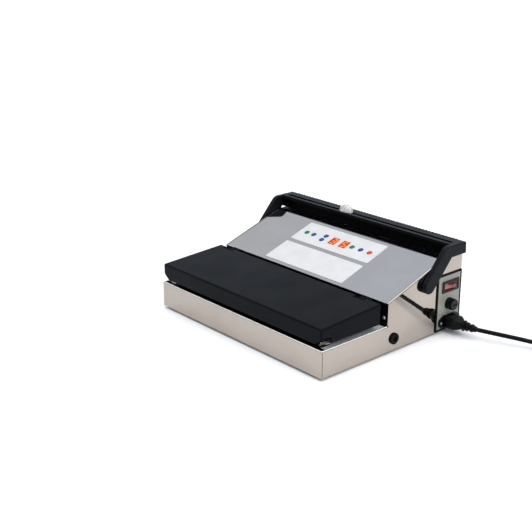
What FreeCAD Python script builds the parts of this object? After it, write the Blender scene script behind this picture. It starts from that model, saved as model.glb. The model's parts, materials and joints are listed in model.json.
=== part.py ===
import FreeCAD, Part
import math
import os

V = FreeCAD.Vector

# A table-top vacuum sealer: stepped steel body, hinged lid over a vacuum trough and seal bar,
# sloping control panel, and a swinging carry handle with a sliding bag cutter.
# Millimetres. X runs across the front, Y from front to back, Z up from the table.
# The origin is on the table, midway between the feet.

# Body, as folded sheet: heights count from the body's bottom edge, setbacks from its front
# edge, insets from its rear or outer edge
body_width = 380.0
body_depth = 307.0
sheet = 1.0
front_wall_height = 42.2
riser_setback = 137.0
riser_height = 78.8
ridge_setback = 260.4
top_height = 120.7
panel_recess = 0.4
sheet_gap = 0.3
flange_width = 10.0
hem_width = 3.2
hem_radius = 2.0
seam_gap = 0.9
relief_radius = 1.6

# Ventilation slots in the rear wall
vent_count = 14
vent_pitch = 9.0
vent_width = 3.5
vent_length = 36.0
vent_low = 54.0

# Feet
foot_height = 4.0
foot_radius = 11.0
foot_inset = 34.0
foot_hole_radius = 2.2

# Deck, vacuum trough and lower gasket
deck_drop = 2.7
trough_length = 300.0
trough_width = 38.0
trough_setback = 79.0
trough_depth = 13.0
trough_wall = 2.0
trough_corner = 10.0
trough_flange = 16.0
trough_flange_thick = 1.2
gasket_width = 9.0
gasket_height = 4.5
port_radius = 4.0
port_bore = 2.5
port_offset = -100.0

# Seal bar with its heating strip
seal_bar_length = 330.0
seal_bar_width = 18.0
seal_bar_height = 4.5
seal_bar_setback = 25.0
element_width = 5.0
element_thick = 0.4
tape_width = 22.0
tape_thick = 0.3
clip_width = 16.0
clip_thick = 0.6
clip_radius = 5.5
clip_rise = 1.5
clip_reach = 8.0
clip_foot = 3.0

# Lid
lid_side_inset = 2.0
lid_front_inset = 0.6
lid_rear_gap = 13.0
lid_clearance = 7.3
lid_front_height = 74.8
lid_rear_height = 81.8
lid_rear_rake = 1.0
lid_wall = 2.5
lid_edge_radius = 3.0
lid_corner_cut = 13.0
lid_corner_rise = 10.5
lid_corner_depth = 20.0
lid_plate_thick = 2.0
lid_plate_lift = 1.5
lid_post_radius = 3.5
pressure_strip_width = 12.0
magnet_radius = 3.0
magnet_length = 4.0
sensor_length = 18.0
sensor_width = 8.0
running_gap = 0.3

# Lid hinges
hinge_centres = (-160.0, 149.0)
hinge_notch_width = 23.0
hinge_axis_inset = 4.5
hinge_pin_radius = 2.0
hinge_play = 0.05
hinge_boss_radius = 3.5
hinge_ear = 6.0
hinge_side_gap = 1.2
bracket_thick = 1.2

# Control panel
label_width = 178.5
label_centre = -3.25
label_thick = 0.6
control_label_length = 52.6
control_label_margin = 11.0
info_label_length = 52.0
info_label_margin = 6.2
key_radius = 4.5
key_travel = 0.4
key_proud = 0.3
key_flange = 1.1
key_gap = 0.3
key_stem = 3.0
key_row = 24.9
key_pair_spread = 5.8
display_width = 14.5
display_length = 18.0
board_thick = 1.6
board_depth = 6.4
# Each key: name, distance from the body's middle, offset along the slope from the key row
keys = (
    ("key_start", -76.2, 0.0),
    ("key_pulse", -59.5, 0.0),
    ("key_time_up", -35.0, key_pair_spread),
    ("key_time_down", -35.0, -key_pair_spread),
    ("key_seal", 30.8, 0.0),
    ("key_mode", 50.1, 0.0),
    ("key_stop", 69.4, 0.0),
)
display_centres = (-11.5, 12.7)

# Handle and its bag cutter
pivot_inset = 85.5
pivot_height = 85.6
arm_width = 22.3
arm_thick = 8.3
arm_gap = 1.0
stub_radius = 5.0
stub_play = 0.05
bush_wall = 2.0
bar_gap = 2.3
bar_height = 19.0
bar_depth = 36.5
bar_inset = 2.0
bar_lip = 2.5
knee_radius = 16.0
bar_edge_radius = 2.5
cutter_channel_width = 15.0
cutter_channel_height = 12.5
cutter_line_inset = 14.3
cutter_slot_width = 6.5
cutter_end = 4.0
rail_thick = 1.2
blade_slot_width = 2.4
blade_thick = 0.6
blade_reach = 1.4
carriage_length = 24.0
knob_length = 28.0
knob_width = 17.0
knob_height = 11.5
knob_rest = -41.5
bumper_radius = 4.0
bumper_inset = 18.0

# Right-hand service plate with switch, fuse and mains inlet
plate_length = 58.4
plate_height = 94.0
plate_thick = 1.2
plate_border = 3.0
plate_border_proud = 0.3
plate_screw_edge = 4.5
plate_screw_drop = 8.5
plate_screw_rise = 5.0
switch_inset = 27.1
switch_height = 72.8
switch_length = 40.0
switch_width = 18.5
switch_rim = 2.2
switch_body_depth = 24.0
rocker_length = 28.0
rocker_width = 11.0
rocker_thick = 12.0
rocker_tilt = 8.0
rocker_pin = 1.5
rocker_play = 0.05
fuse_inset = 28.8
fuse_height = 43.4
fuse_collar_radius = 9.5
fuse_collar_length = 4.6
fuse_cap_radius = 9.0
fuse_cap_length = 7.5
fuse_body_radius = 6.5
fuse_body_length = 32.0
fuse_bore = 4.5
inlet_inset = 27.0
inlet_height = 14.0
inlet_flange_width = 50.0
inlet_flange_height = 22.0
inlet_flange_thick = 2.5
inlet_ear_height = 10.0
inlet_middle_width = 29.0
inlet_corner = 3.0
inlet_hole_spacing = 40.0
inlet_body_width = 27.0
inlet_body_height = 19.5
inlet_body_depth = 22.0
inlet_cavity_width = 23.4
inlet_cavity_height = 16.0
inlet_cavity_depth = 17.0
side_plug_setback = 152.0
side_plug_height = 18.8
side_plug_radius = 9.0
side_plug_neck = 5.9
side_plug_lip = 7.2
side_plug_hollow = 3.8
side_plug_proud = 3.0

# Inside the rear compartment
motor_radius = 27.0
motor_length = 70.0
motor_left = -96.0
motor_setback = 220.0
motor_height = 44.0
shaft_radius = 3.0
shaft_play = 0.05
fan_radius = 24.0
fan_width = 10.0
pump_length = 54.0
pump_width = 50.0
pump_height = 73.0
pump_head_radius = 17.0
pump_head_height = 6.0
hose_radius = 4.0
hose_bore = 2.5

# Mains lead: diameter, the wound length's pitch and radii, and the plug on its end
cord_radius = 3.5
coil_pitch = 7.8
coil_inner_radius = 28.0
coil_turns_per_layer = 3.1
coil_lift = 1.2
coil_heading = 24.0
coil_tail = 16.0
tie_width = 9.0
tie_thick = 0.9
plug_length = 38.0
plug_width = 26.0
plug_relief = 30.0
grip_length = 28.3
grip_straight = 17.0
grip_width = 27.0
grip_height = 19.0
grip_neck = 14.0
grip_corner = 4.0
collar_radius = 8.8
collar_length = 3.0
relief_radius_wide = 5.6
relief_radius_thin = 4.6
bead_round = 1.2
# Swellings of the strain relief: distance from the collar's foot, length, radius
relief_beads = ((5.0, 4.2, 7.2), (12.0, 5.2, 6.4))
# Route of the free stretch, from the connector to the coil, in the part's own frame
cord_route = (
    V(243.0, 131.8, 16.0),
    V(283.0, 148.0, 14.3),
    V(325.0, 166.2, 11.6),
    V(361.0, 181.4, 6.6),
    V(388.0, 193.6, 4.7),
    V(445.6, 219.2, 4.7),
)

half_width = body_width / 2
nodes = {}


def at_y(setback):
    """Y of a place that lies this far behind the front wall."""
    return setback - body_depth / 2


def at_back(inset):
    """Y of a place that lies this far in front of the rear edge."""
    return body_depth / 2 - inset


def at_z(height):
    """Z of a place this far above the body's bottom edge."""
    return height + foot_height


def box(x0, x1, y0, y1, z0, z1):
    return Part.makeBox(x1 - x0, y1 - y0, z1 - z0, V(x0, y0, z0))


def rod(radius, start, end):
    along = end - start
    return Part.makeCylinder(radius, along.Length, start, along)


def ring(outer, inner, start, end):
    return rod(outer, start, end).cut(rod(inner, start, end))


def prism_x(points, x0, x1):
    """A polygon of (y, z) points, drawn out along X."""
    corners = [V(x0, y, z) for y, z in points]
    face = Part.Face(Part.makePolygon(corners + corners[:1]))
    return face.extrude(V(x1 - x0, 0, 0))


def prism_y(points, y0, y1):
    """A polygon of (x, z) points, drawn out along Y."""
    corners = [V(x, y0, z) for x, z in points]
    face = Part.Face(Part.makePolygon(corners + corners[:1]))
    return face.extrude(V(0, y1 - y0, 0))


def slab(x0, x1, y0, y1, z0, z1, corner):
    """A block whose upright edges are rounded."""
    block = box(x0, x1, y0, y1, z0, z1)
    upright = [e for e in block.Edges if abs(e.tangentAt(e.FirstParameter).z) > 0.99]
    return block.makeFillet(corner, upright)


def join(shapes):
    whole = shapes[0].multiFuse(shapes[1:]) if len(shapes) > 1 else shapes[0]
    return whole.removeSplitter()


def group(shapes):
    return Part.makeCompound(shapes)


def mirrored_x(shape):
    return shape.mirror(V(0, 0, 0), V(1, 0, 0))


def screw(head_radius, head_thick, shank_radius, shank_length, seat, outward):
    """A pan-head screw whose head sits on the seat and whose shank runs inwards."""
    out = V(outward).normalize()
    head = rod(head_radius, seat, seat + out * head_thick)
    rim = [e for e in head.Edges if (e.BoundBox.Center - seat).dot(out) > head_thick * 0.9]
    head = head.makeFillet(head_thick * 0.45, rim)
    return join([head, rod(shank_radius, seat - out * shank_length, seat)])


# Places worked out from the driving dimensions
inner_half = half_width - sheet
cover_half = half_width - hem_width - sheet_gap
deck_top = front_wall_height - deck_drop
cover_riser = riser_height - panel_recess
cover_top = top_height - panel_recess
panel_run = ridge_setback - riser_setback
panel_angle = math.atan2(cover_top - cover_riser, panel_run)
panel_length = math.hypot(panel_run, cover_top - cover_riser)
panel_frame = FreeCAD.Placement(
    V(0, at_y(riser_setback), at_z(cover_riser)),
    FreeCAD.Rotation(V(1, 0, 0), math.degrees(panel_angle)),
)
control_label_low = panel_length - control_label_margin - control_label_length
key_line = control_label_low + key_row
foot_places = [
    (sx * (half_width - foot_inset), sy * (body_depth / 2 - foot_inset)) for sx in (-1, 1) for sy in (-1, 1)
]


def on_panel(shape):
    """Moves a shape drawn flat, with Y up the slope and Z out of the panel, onto the panel."""
    placed = shape.copy()
    placed.Placement = panel_frame.multiply(placed.Placement)
    return placed


def panel_openings(depth_below, height_above):
    """Cutters for the key holes and the display windows."""
    cutters = []
    for _, x, offset in keys:
        middle = V(x, key_line + offset, 0)
        cutters.append(
            rod(key_radius + key_gap, middle - V(0, 0, depth_below), middle + V(0, 0, height_above))
        )
    half_w = display_width / 2 + sheet_gap
    half_l = display_length / 2 + sheet_gap
    for x in display_centres:
        cutters.append(
            box(x - half_w, x + half_w, key_line - half_l, key_line + half_l, -depth_below, height_above)
        )
    return [on_panel(c) for c in cutters]


# Service plate: openings that pass through the plate and the side sheet
plate_face = half_width + plate_thick
service_y0 = at_back(plate_length)
switch_y = at_back(switch_inset)
inlet_y = at_back(inlet_inset)
switch_hole = (
    half_width - switch_body_depth,
    plate_face,
    switch_y - switch_length / 2 + switch_rim,
    switch_y + switch_length / 2 - switch_rim,
    at_z(switch_height - switch_width / 2 + switch_rim * 0.5),
    at_z(switch_height + switch_width / 2 - switch_rim * 0.5),
)
inlet_hole = (
    half_width - inlet_body_depth,
    plate_face,
    inlet_y - inlet_body_width / 2,
    inlet_y + inlet_body_width / 2,
    at_z(inlet_height - inlet_body_height / 2),
    at_z(inlet_height + inlet_body_height / 2),
)
fuse_axis = (at_back(fuse_inset), at_z(fuse_height))
plate_screw_places = (
    (at_back(plate_border + plate_screw_edge), at_z(plate_height - plate_screw_drop)),
    (
        service_y0 + plate_border + plate_screw_drop,
        at_z(inlet_height + inlet_flange_height / 2 + plate_screw_rise),
    ),
)
inlet_screw_places = [
    (inlet_y + side * inlet_hole_spacing / 2, at_z(inlet_height)) for side in (-1, 1)
]
screw_shank = 1.6
screw_hole = 1.7


def side_point(x, place):
    return V(x, place[0], place[1])


def service_openings(x0, x1):
    """Cutters for switch, inlet, fuse holder and screws, from x0 to x1."""
    cutters = [
        box(x0, x1, *switch_hole[2:]),
        box(x0, x1, *inlet_hole[2:]),
        rod(fuse_body_radius, side_point(x0, fuse_axis), side_point(x1, fuse_axis)),
    ]
    for place in list(plate_screw_places) + inlet_screw_places:
        cutters.append(rod(screw_hole, side_point(x0, place), side_point(x1, place)))
    return cutters


# Base pan: floor, front wall and stepped sides folded from one sheet
side_outline = [
    (at_y(0), at_z(0)),
    (at_y(body_depth), at_z(0)),
    (at_y(body_depth), at_z(top_height)),
    (at_y(ridge_setback), at_z(top_height)),
    (at_y(riser_setback), at_z(riser_height)),
    (at_y(riser_setback), at_z(front_wall_height)),
    (at_y(0), at_z(front_wall_height)),
]
pan = prism_x(side_outline, -half_width, half_width)
side_slope = math.atan2(top_height - riser_height, panel_run)


def hem_edge(edge):
    """True for the upper edges of the front wall and of both sides, where the sheet turns inwards."""
    place = edge.BoundBox.Center
    on_side = abs(abs(place.x) - half_width) < 0.01 and edge.BoundBox.YLength > 1.0
    on_front = edge.BoundBox.XLength > 1.0 and place.y < at_y(0) + 0.01
    return (on_side or on_front) and place.z > at_z(front_wall_height) - 0.01


pan = pan.makeFillet(hem_radius, [e for e in pan.Edges if hem_edge(e)])
pan_room = [
    (at_y(sheet), at_z(sheet)),
    (at_y(body_depth + 1), at_z(sheet)),
    (at_y(body_depth + 1), at_z(top_height - sheet)),
    (at_y(ridge_setback) + sheet * math.tan(side_slope / 2), at_z(top_height - sheet)),
    (at_y(riser_setback), at_z(riser_height - sheet / math.cos(side_slope))),
    (at_y(riser_setback), at_z(front_wall_height - sheet)),
    (at_y(sheet), at_z(front_wall_height - sheet)),
]
hem_half = half_width - hem_width
pan = pan.cut(prism_x(pan_room, -inner_half, inner_half))
pan = pan.cut(
    box(
        -hem_half,
        hem_half,
        at_y(hem_width),
        at_y(body_depth + 1),
        at_z(front_wall_height - 2 * sheet),
        at_z(top_height + 1),
    )
)
rear_lip = box(
    -inner_half,
    inner_half,
    at_y(body_depth - 2 * sheet),
    at_y(body_depth - sheet),
    at_z(sheet),
    at_z(sheet + 1.4 * flange_width),
)
rear_trim = box(
    -inner_half, inner_half, at_y(body_depth - sheet), at_y(body_depth), at_z(0), at_z(sheet)
)
pan = pan.fuse(rear_lip).cut(rear_trim)
pivot_y = at_back(pivot_inset)
pivot_z = at_z(pivot_height)
plug_place = (at_y(side_plug_setback), at_z(side_plug_height))
bush_radius = stub_radius + stub_play + bush_wall
pan_cuts = service_openings(inner_half - 1, half_width + 1)
for side in (-1, 1):
    outer = side * (half_width + 1)
    inner = side * (inner_half - 1)
    seam = box(
        inner_half,
        half_width + 1,
        at_y(sheet),
        at_y(sheet + seam_gap),
        at_z(sheet),
        at_z(front_wall_height - hem_radius),
    )
    pan_cuts.append(seam if side > 0 else mirrored_x(seam))
    notch = V(inner, at_y(riser_setback), at_z(front_wall_height))
    pan_cuts.append(rod(relief_radius, notch, V(outer, notch.y, notch.z)))
    pan_cuts.append(rod(bush_radius, V(inner, pivot_y, pivot_z), V(outer, pivot_y, pivot_z)))
    pan_cuts.append(rod(side_plug_neck, side_point(inner, plug_place), side_point(outer, plug_place)))
for x, y in foot_places:
    pan_cuts.append(rod(foot_hole_radius, V(x, y, at_z(-1)), V(x, y, at_z(sheet + 1))))
rear_screw_places = [(x * half_width, at_z(sheet + 0.7 * flange_width)) for x in (-0.85, -0.3, 0.3, 0.85)]
rear_face = at_y(body_depth)
rear_screw_cuts = [
    rod(screw_hole, V(x, rear_face - 3 * sheet, z), V(x, rear_face + 1, z)) for x, z in rear_screw_places
]
nodes["base_pan"] = pan.cut(Part.makeCompound(pan_cuts + rear_screw_cuts)).removeSplitter()


# Top cover: sloping panel, flat top and rear wall in one folded sheet, with flanges inside the sides
def cover_outline(thick):
    lean = math.tan(panel_angle / 2) * thick
    drop = thick * math.cos(panel_angle)
    return [
        (at_y(riser_setback), at_z(cover_riser)),
        (at_y(ridge_setback), at_z(cover_top)),
        (at_y(body_depth), at_z(cover_top)),
        (at_y(body_depth), at_z(0)),
        (at_y(body_depth - thick), at_z(0)),
        (at_y(body_depth - thick), at_z(cover_top - thick)),
        (at_y(ridge_setback) + lean, at_z(cover_top - thick)),
        (at_y(riser_setback) + thick * math.sin(panel_angle), at_z(cover_riser) - drop),
    ]


flange_cut = box(
    -half_width,
    half_width,
    at_y(body_depth - flange_width - 1),
    at_y(body_depth - sheet),
    at_z(-1),
    at_z(sheet + 1.4 * flange_width + 1),
)
riser_relief = box(
    -half_width,
    half_width,
    at_y(riser_setback - 1),
    at_y(riser_setback + 2 * sheet),
    0,
    at_z(cover_riser - sheet),
)
cover_parts = [prism_x(cover_outline(sheet), -cover_half, cover_half)]
for side in (-1, 1):
    flange = prism_x(cover_outline(flange_width), cover_half - sheet, cover_half)
    flange = flange.cut(flange_cut).cut(riser_relief)
    cover_parts.append(flange if side > 0 else mirrored_x(flange))
cover = join(cover_parts)
vents = []
for row in range(vent_count):
    x = (row - (vent_count - 1) / 2) * vent_pitch
    low = at_z(vent_low)
    half = vent_width / 2
    vents.append(box(x - half, x + half, rear_face - 2 * sheet, rear_face + 1, low, low + vent_length))
bush_room = bush_radius + 2.5
for side in (-1, 1):
    room_start = V(side * (cover_half - 2 * sheet), pivot_y, pivot_z)
    vents.append(rod(bush_room, room_start, V(side * half_width, pivot_y, pivot_z)))
service_room = box(
    cover_half - 2 * sheet,
    half_width,
    service_y0,
    at_back(sheet),
    at_z(0),
    switch_hole[5] + sheet,
)
cover_cuts = panel_openings(sheet + 1, 1) + vents + rear_screw_cuts + [service_room]
nodes["top_cover"] = cover.cut(Part.makeCompound(cover_cuts)).removeSplitter()

# Front deck: the steel floor under the lid, folded up at the back into the riser
deck_half = inner_half - sheet_gap
deck_front = at_y(sheet + sheet_gap)
deck_rear = at_y(riser_setback)
deck = box(-deck_half, deck_half, deck_front, deck_rear + sheet, at_z(deck_top - sheet), at_z(deck_top))
riser_top = at_z(cover_riser - 1.4 * sheet)
riser = box(-deck_half, deck_half, deck_rear, deck_rear + sheet, at_z(deck_top - sheet), riser_top)
deck_skirts = [
    box(x0, x0 + sheet, deck_front, deck_rear + sheet, at_z(deck_top - flange_width), at_z(deck_top))
    for x0 in (-deck_half, deck_half - sheet)
]
trough_y0 = at_y(trough_setback - trough_width / 2)
trough_y1 = at_y(trough_setback + trough_width / 2)
trough_half = trough_length / 2
deck_opening = slab(
    -trough_half - sheet_gap,
    trough_half + sheet_gap,
    trough_y0 - sheet_gap,
    trough_y1 + sheet_gap,
    at_z(deck_top - 2 * sheet),
    at_z(deck_top + 1),
    trough_corner,
)
hinge_y = at_y(riser_setback - lid_rear_gap - hinge_axis_inset)
hinge_z = at_z(lid_rear_height - hinge_axis_inset)
lid_bottom = front_wall_height + lid_clearance
bracket_screw_z = at_z(lid_bottom + 5.0)
riser_screw_x = deck_half - 6.0
bracket_screws_x = [c + s * 0.25 * hinge_notch_width for c in hinge_centres for s in (-1, 1)]
riser_screw_cuts = [
    rod(screw_hole, V(x, deck_rear - 1, bracket_screw_z), V(x, deck_rear + 2 * sheet, bracket_screw_z))
    for x in bracket_screws_x + [-riser_screw_x, riser_screw_x]
]
deck = join([deck, riser] + deck_skirts).cut(Part.makeCompound([deck_opening] + riser_screw_cuts))
nodes["front_deck"] = deck.removeSplitter()

# Vacuum trough: moulded tray hung in the deck, with a suction port at its back
trough_top = deck_top + trough_flange_thick
trough_low = at_z(deck_top - trough_depth)
well = slab(-trough_half, trough_half, trough_y0, trough_y1, trough_low, at_z(trough_top), trough_corner)
rim = slab(
    -trough_half - trough_flange,
    trough_half + trough_flange,
    trough_y0 - trough_flange,
    trough_y1 + trough_flange,
    at_z(deck_top),
    at_z(trough_top),
    trough_corner,
)
hollow = slab(
    -trough_half + trough_wall,
    trough_half - trough_wall,
    trough_y0 + trough_wall,
    trough_y1 - trough_wall,
    at_z(deck_top - trough_depth + trough_wall),
    at_z(trough_top + 1),
    trough_corner - trough_wall,
)
port_z = at_z(deck_top - trough_depth / 2)
valve_y0 = trough_y1 + 8.0
port_start = V(port_offset, trough_y1 - trough_wall / 2, port_z)
port_end = V(port_offset, valve_y0, port_z)
trough = join([well, rim, rod(port_radius, port_start, port_end)]).cut(hollow)
port_hole = rod(port_bore, port_start - V(0, 3 * trough_wall, 0), port_end)
nodes["vacuum_trough"] = trough.cut(port_hole).removeSplitter()


def gasket_ring(z0, z1):
    """A foam ring that follows the trough's rim."""
    out_x = trough_half + 0.5 * (trough_flange + gasket_width)
    out_y0 = trough_y0 - 0.5 * (trough_flange + gasket_width)
    out_y1 = trough_y1 + 0.5 * (trough_flange + gasket_width)
    outside = slab(-out_x, out_x, out_y0, out_y1, z0, z1, trough_corner + 2.0)
    inside = slab(
        -out_x + gasket_width,
        out_x - gasket_width,
        out_y0 + gasket_width,
        out_y1 - gasket_width,
        z0,
        z1,
        trough_corner - 2.0,
    )
    return outside.cut(inside)


gasket_top = at_z(trough_top + gasket_height)
nodes["lower_gasket"] = gasket_ring(at_z(trough_top), gasket_top)

# Seal bar, heating strip under its non-stick tape, and the spring clips that tension the strip
seal_half = seal_bar_length / 2
seal_y = at_y(seal_bar_setback)
seal_top = at_z(deck_top + seal_bar_height)
seal_y0 = seal_y - seal_bar_width / 2
seal_y1 = seal_y + seal_bar_width / 2
nodes["seal_bar"] = box(-seal_half, seal_half, seal_y0, seal_y1, at_z(deck_top), seal_top)
nodes["heating_element"] = box(
    -seal_half,
    seal_half,
    seal_y - element_width / 2,
    seal_y + element_width / 2,
    seal_top,
    seal_top + element_thick,
)
tape_top = seal_top + element_thick + tape_thick
nodes["ptfe_tape"] = box(
    -seal_half + 4.0,
    seal_half - 4.0,
    seal_y - tape_width / 2,
    seal_y + tape_width / 2,
    seal_top + element_thick,
    tape_top,
)


def element_clip():
    """A leaf spring that runs out from the bar's end, rises from the deck and curls over outwards."""
    foot_x = seal_half + clip_foot
    floor = at_z(deck_top)
    centre = V(foot_x + clip_radius, 0, floor + clip_rise)

    def on_curl(radius, degrees):
        turn = math.radians(degrees)
        return centre + V(-radius * math.cos(turn), 0, radius * math.sin(turn))

    outer = clip_radius
    inner = clip_radius - clip_thick
    tip = V(clip_reach, 0, 0)
    foot_out = V(foot_x, 0, floor)
    foot_in = V(foot_x + clip_thick, 0, floor)
    outline = [
        Part.LineSegment(foot_out, on_curl(outer, 0)).toShape(),
        Part.Arc(on_curl(outer, 0), on_curl(outer, 45), on_curl(outer, 90)).toShape(),
        Part.LineSegment(on_curl(outer, 90), on_curl(outer, 90) + tip).toShape(),
        Part.LineSegment(on_curl(outer, 90) + tip, on_curl(inner, 90) + tip).toShape(),
        Part.LineSegment(on_curl(inner, 90) + tip, on_curl(inner, 90)).toShape(),
        Part.Arc(on_curl(inner, 90), on_curl(inner, 45), on_curl(inner, 0)).toShape(),
        Part.LineSegment(on_curl(inner, 0), foot_in).toShape(),
        Part.LineSegment(foot_in, foot_out).toShape(),
    ]
    strip = Part.Face(Part.Wire(outline)).extrude(V(0, clip_width, 0))
    clip_y = seal_y - clip_width / 2
    strip.translate(V(0, clip_y, 0))
    foot = box(seal_half + sheet_gap, foot_x, clip_y, clip_y + clip_width, floor, floor + clip_thick)
    return join([strip, foot])


right_clip = element_clip()
nodes["element_clips"] = group([right_clip, mirrored_x(right_clip)])

# Lid: a moulded shell with raked back, cut lower front corners and notches for the hinges
lid_half = half_width - lid_side_inset
lid_y0 = at_y(lid_front_inset)
lid_y1 = at_y(riser_setback - lid_rear_gap)


def lid_block(inset, bottom):
    low_rear = lid_y1 - lid_rear_rake
    outline = [
        (lid_y0 + inset, bottom),
        (lid_y0 + inset, at_z(lid_front_height) - inset),
        (lid_y1 - inset, at_z(lid_rear_height) - inset),
        (low_rear - inset, bottom),
    ]
    return prism_x(outline, -lid_half + inset, lid_half - inset)


outer_block = lid_block(0.0, at_z(lid_bottom))
soft_edges = [e for e in outer_block.Edges if e.BoundBox.ZMax > at_z(lid_bottom) + 1.0]
lid_outer = outer_block.makeFillet(lid_edge_radius, soft_edges)
lid_shell = lid_outer.cut(lid_block(lid_wall, at_z(lid_bottom - 1)))
notch_half = hinge_notch_width / 2
notch_front = hinge_y - hinge_boss_radius - hinge_side_gap
lid_cuts = []
for centre in hinge_centres:
    walls = box(
        centre - notch_half - hinge_ear,
        centre + notch_half + hinge_ear,
        notch_front - lid_wall,
        lid_y1,
        at_z(lid_bottom),
        at_z(lid_rear_height),
    )
    lid_shell = lid_shell.fuse(walls.common(lid_outer))
    lid_cuts.append(
        box(
            centre - notch_half,
            centre + notch_half,
            notch_front,
            lid_y1 + 1,
            at_z(lid_bottom - 1),
            at_z(lid_rear_height + 1),
        )
    )
    lid_cuts.append(
        rod(
            hinge_pin_radius + hinge_play,
            V(centre - notch_half - hinge_ear, hinge_y, hinge_z),
            V(centre + notch_half + hinge_ear, hinge_y, hinge_z),
        )
    )
corner_cut = [
    (lid_half - lid_corner_cut, at_z(lid_bottom)),
    (lid_half + 1, at_z(lid_bottom + lid_corner_rise)),
    (lid_half + 1, at_z(lid_bottom - 1)),
    (lid_half - lid_corner_cut, at_z(lid_bottom - 1)),
]
right_corner = prism_y(corner_cut, lid_y0 - 1, lid_y0 + lid_corner_depth)
lid_cuts += [right_corner, mirrored_x(right_corner)]
nodes["lid_shell"] = lid_shell.cut(Part.makeCompound(lid_cuts)).removeSplitter()

# Inside the lid: a carrier plate with the upper gasket and the rubber strip that presses on the bar
plate_low = at_z(lid_bottom + lid_plate_lift)
plate_half = lid_half - lid_corner_cut - 2 * lid_wall
plate_y0 = lid_y0 + lid_wall + sheet_gap
plate_y1 = notch_front - lid_wall - sheet_gap
lid_plate = box(-plate_half, plate_half, plate_y0, plate_y1, plate_low, plate_low + lid_plate_thick)
posts = []
for x in (-0.8 * plate_half, 0.0, 0.8 * plate_half):
    for y in (plate_y0 + 8.0, plate_y1 - 22.0):
        share = (y - lid_y0) / (lid_y1 - lid_y0)
        skin = lid_front_height + share * (lid_rear_height - lid_front_height)
        roof = at_z(skin) - lid_wall - 2 * sheet_gap
        posts.append(rod(lid_post_radius, V(x, y, plate_low), V(x, y, roof)))
nodes["lid_inner_plate"] = join([lid_plate] + posts)
nodes["lid_gasket"] = gasket_ring(gasket_top + running_gap, plate_low)
nodes["pressure_strip"] = slab(
    -seal_half + 3.0,
    seal_half - 3.0,
    seal_y - pressure_strip_width / 2,
    seal_y + pressure_strip_width / 2,
    tape_top + running_gap,
    plate_low,
    2.0,
)
magnet_x = 0.5 * plate_half
magnet_y = 0.5 * (seal_y + tape_width / 2 + trough_y0 - trough_flange)
nodes["lid_magnet"] = rod(
    magnet_radius, V(magnet_x, magnet_y, plate_low - magnet_length), V(magnet_x, magnet_y, plate_low)
)
nodes["lid_sensor"] = slab(
    magnet_x - sensor_length / 2,
    magnet_x + sensor_length / 2,
    magnet_y - sensor_width / 2,
    magnet_y + sensor_width / 2,
    at_z(deck_top - sheet) - sensor_width,
    at_z(deck_top - sheet),
    1.5,
)

# Lid hinges: brackets on the riser hold fixed pins that run in the lid's ears
brackets = []
pins = []
lug_half = notch_half - hinge_side_gap
for centre in hinge_centres:
    x0 = centre - lug_half
    x1 = centre + lug_half
    low = hinge_z - hinge_boss_radius
    leaf = box(x0, x1, deck_rear - bracket_thick, deck_rear, at_z(deck_top + 4.0), hinge_z)
    lug = box(x0, x1, hinge_y, deck_rear, low, hinge_z)
    boss = rod(hinge_boss_radius, V(x0, hinge_y, hinge_z), V(x1, hinge_y, hinge_z))
    span = V(notch_half + hinge_ear - 0.5, 0, 0)
    middle = V(centre, hinge_y, hinge_z)
    pin = rod(hinge_pin_radius, middle - span, middle + span)
    holes = []
    for x in bracket_screws_x:
        seat = V(x, deck_rear, bracket_screw_z)
        holes.append(rod(screw_hole, seat - V(0, 2 * bracket_thick, 0), seat + V(0, 1, 0)))
    brackets.append(join([leaf, lug, boss]).cut(Part.makeCompound(holes + [pin])))
    pins.append(pin)
nodes["hinge_brackets"] = group(brackets)
nodes["hinge_pins"] = group(pins)

# Control panel: two bare labels, displays, seven keys and the board behind them
label_x0 = label_centre - label_width / 2
label_x1 = label_centre + label_width / 2
label_corner = 3.0
control_label = on_panel(
    slab(
        label_x0,
        label_x1,
        control_label_low,
        control_label_low + control_label_length,
        0,
        label_thick,
        label_corner,
    )
)
nodes["control_label"] = control_label.cut(Part.makeCompound(panel_openings(1, label_thick + 1)))
info_label_high = info_label_margin + info_label_length
nodes["info_label"] = on_panel(
    slab(label_x0, label_x1, info_label_margin, info_label_high, 0, label_thick, label_corner)
)
board_top = -board_depth
nodes["display_modules"] = group(
    [
        on_panel(
            box(
                x - display_width / 2,
                x + display_width / 2,
                key_line - display_length / 2,
                key_line + display_length / 2,
                board_top,
                label_thick,
            )
        )
        for x in display_centres
    ]
)
board_half = control_label_length / 2 - 3.0
board_y = control_label_low + control_label_length / 2
board_low = board_top - board_thick
board_y0 = board_y - board_half
board_y1 = board_y + board_half
board_parts = [box(label_x0 + 2.0, label_x1 - 2.0, board_y0, board_y1, board_low, board_top)]
for x in (label_x0 + 6.0, label_x1 - 6.0):
    for y in (board_y0 + 4.0, board_y1 - 4.0):
        board_parts.append(rod(2.5, V(x, y, board_low), V(x, y, -sheet)))
for name, x, offset in keys:
    middle = V(x, key_line + offset, 0)
    contact = -key_stem - key_travel - 0.1
    board_parts.append(rod(2.0, middle + V(0, 0, board_top), middle + V(0, 0, contact)))
    cap = rod(key_radius, middle + V(0, 0, -key_stem), middle + V(0, 0, label_thick + key_proud))
    rim_edge = [e for e in cap.Edges if e.BoundBox.ZMin > label_thick]
    cap = cap.makeFillet(0.25, rim_edge)
    collar_top = -sheet - key_gap
    collar = rod(key_radius + key_flange, middle + V(0, 0, -key_stem + 0.6), middle + V(0, 0, collar_top))
    nodes[name] = on_panel(join([cap, collar]))
nodes["control_board"] = on_panel(join(board_parts))

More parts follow.
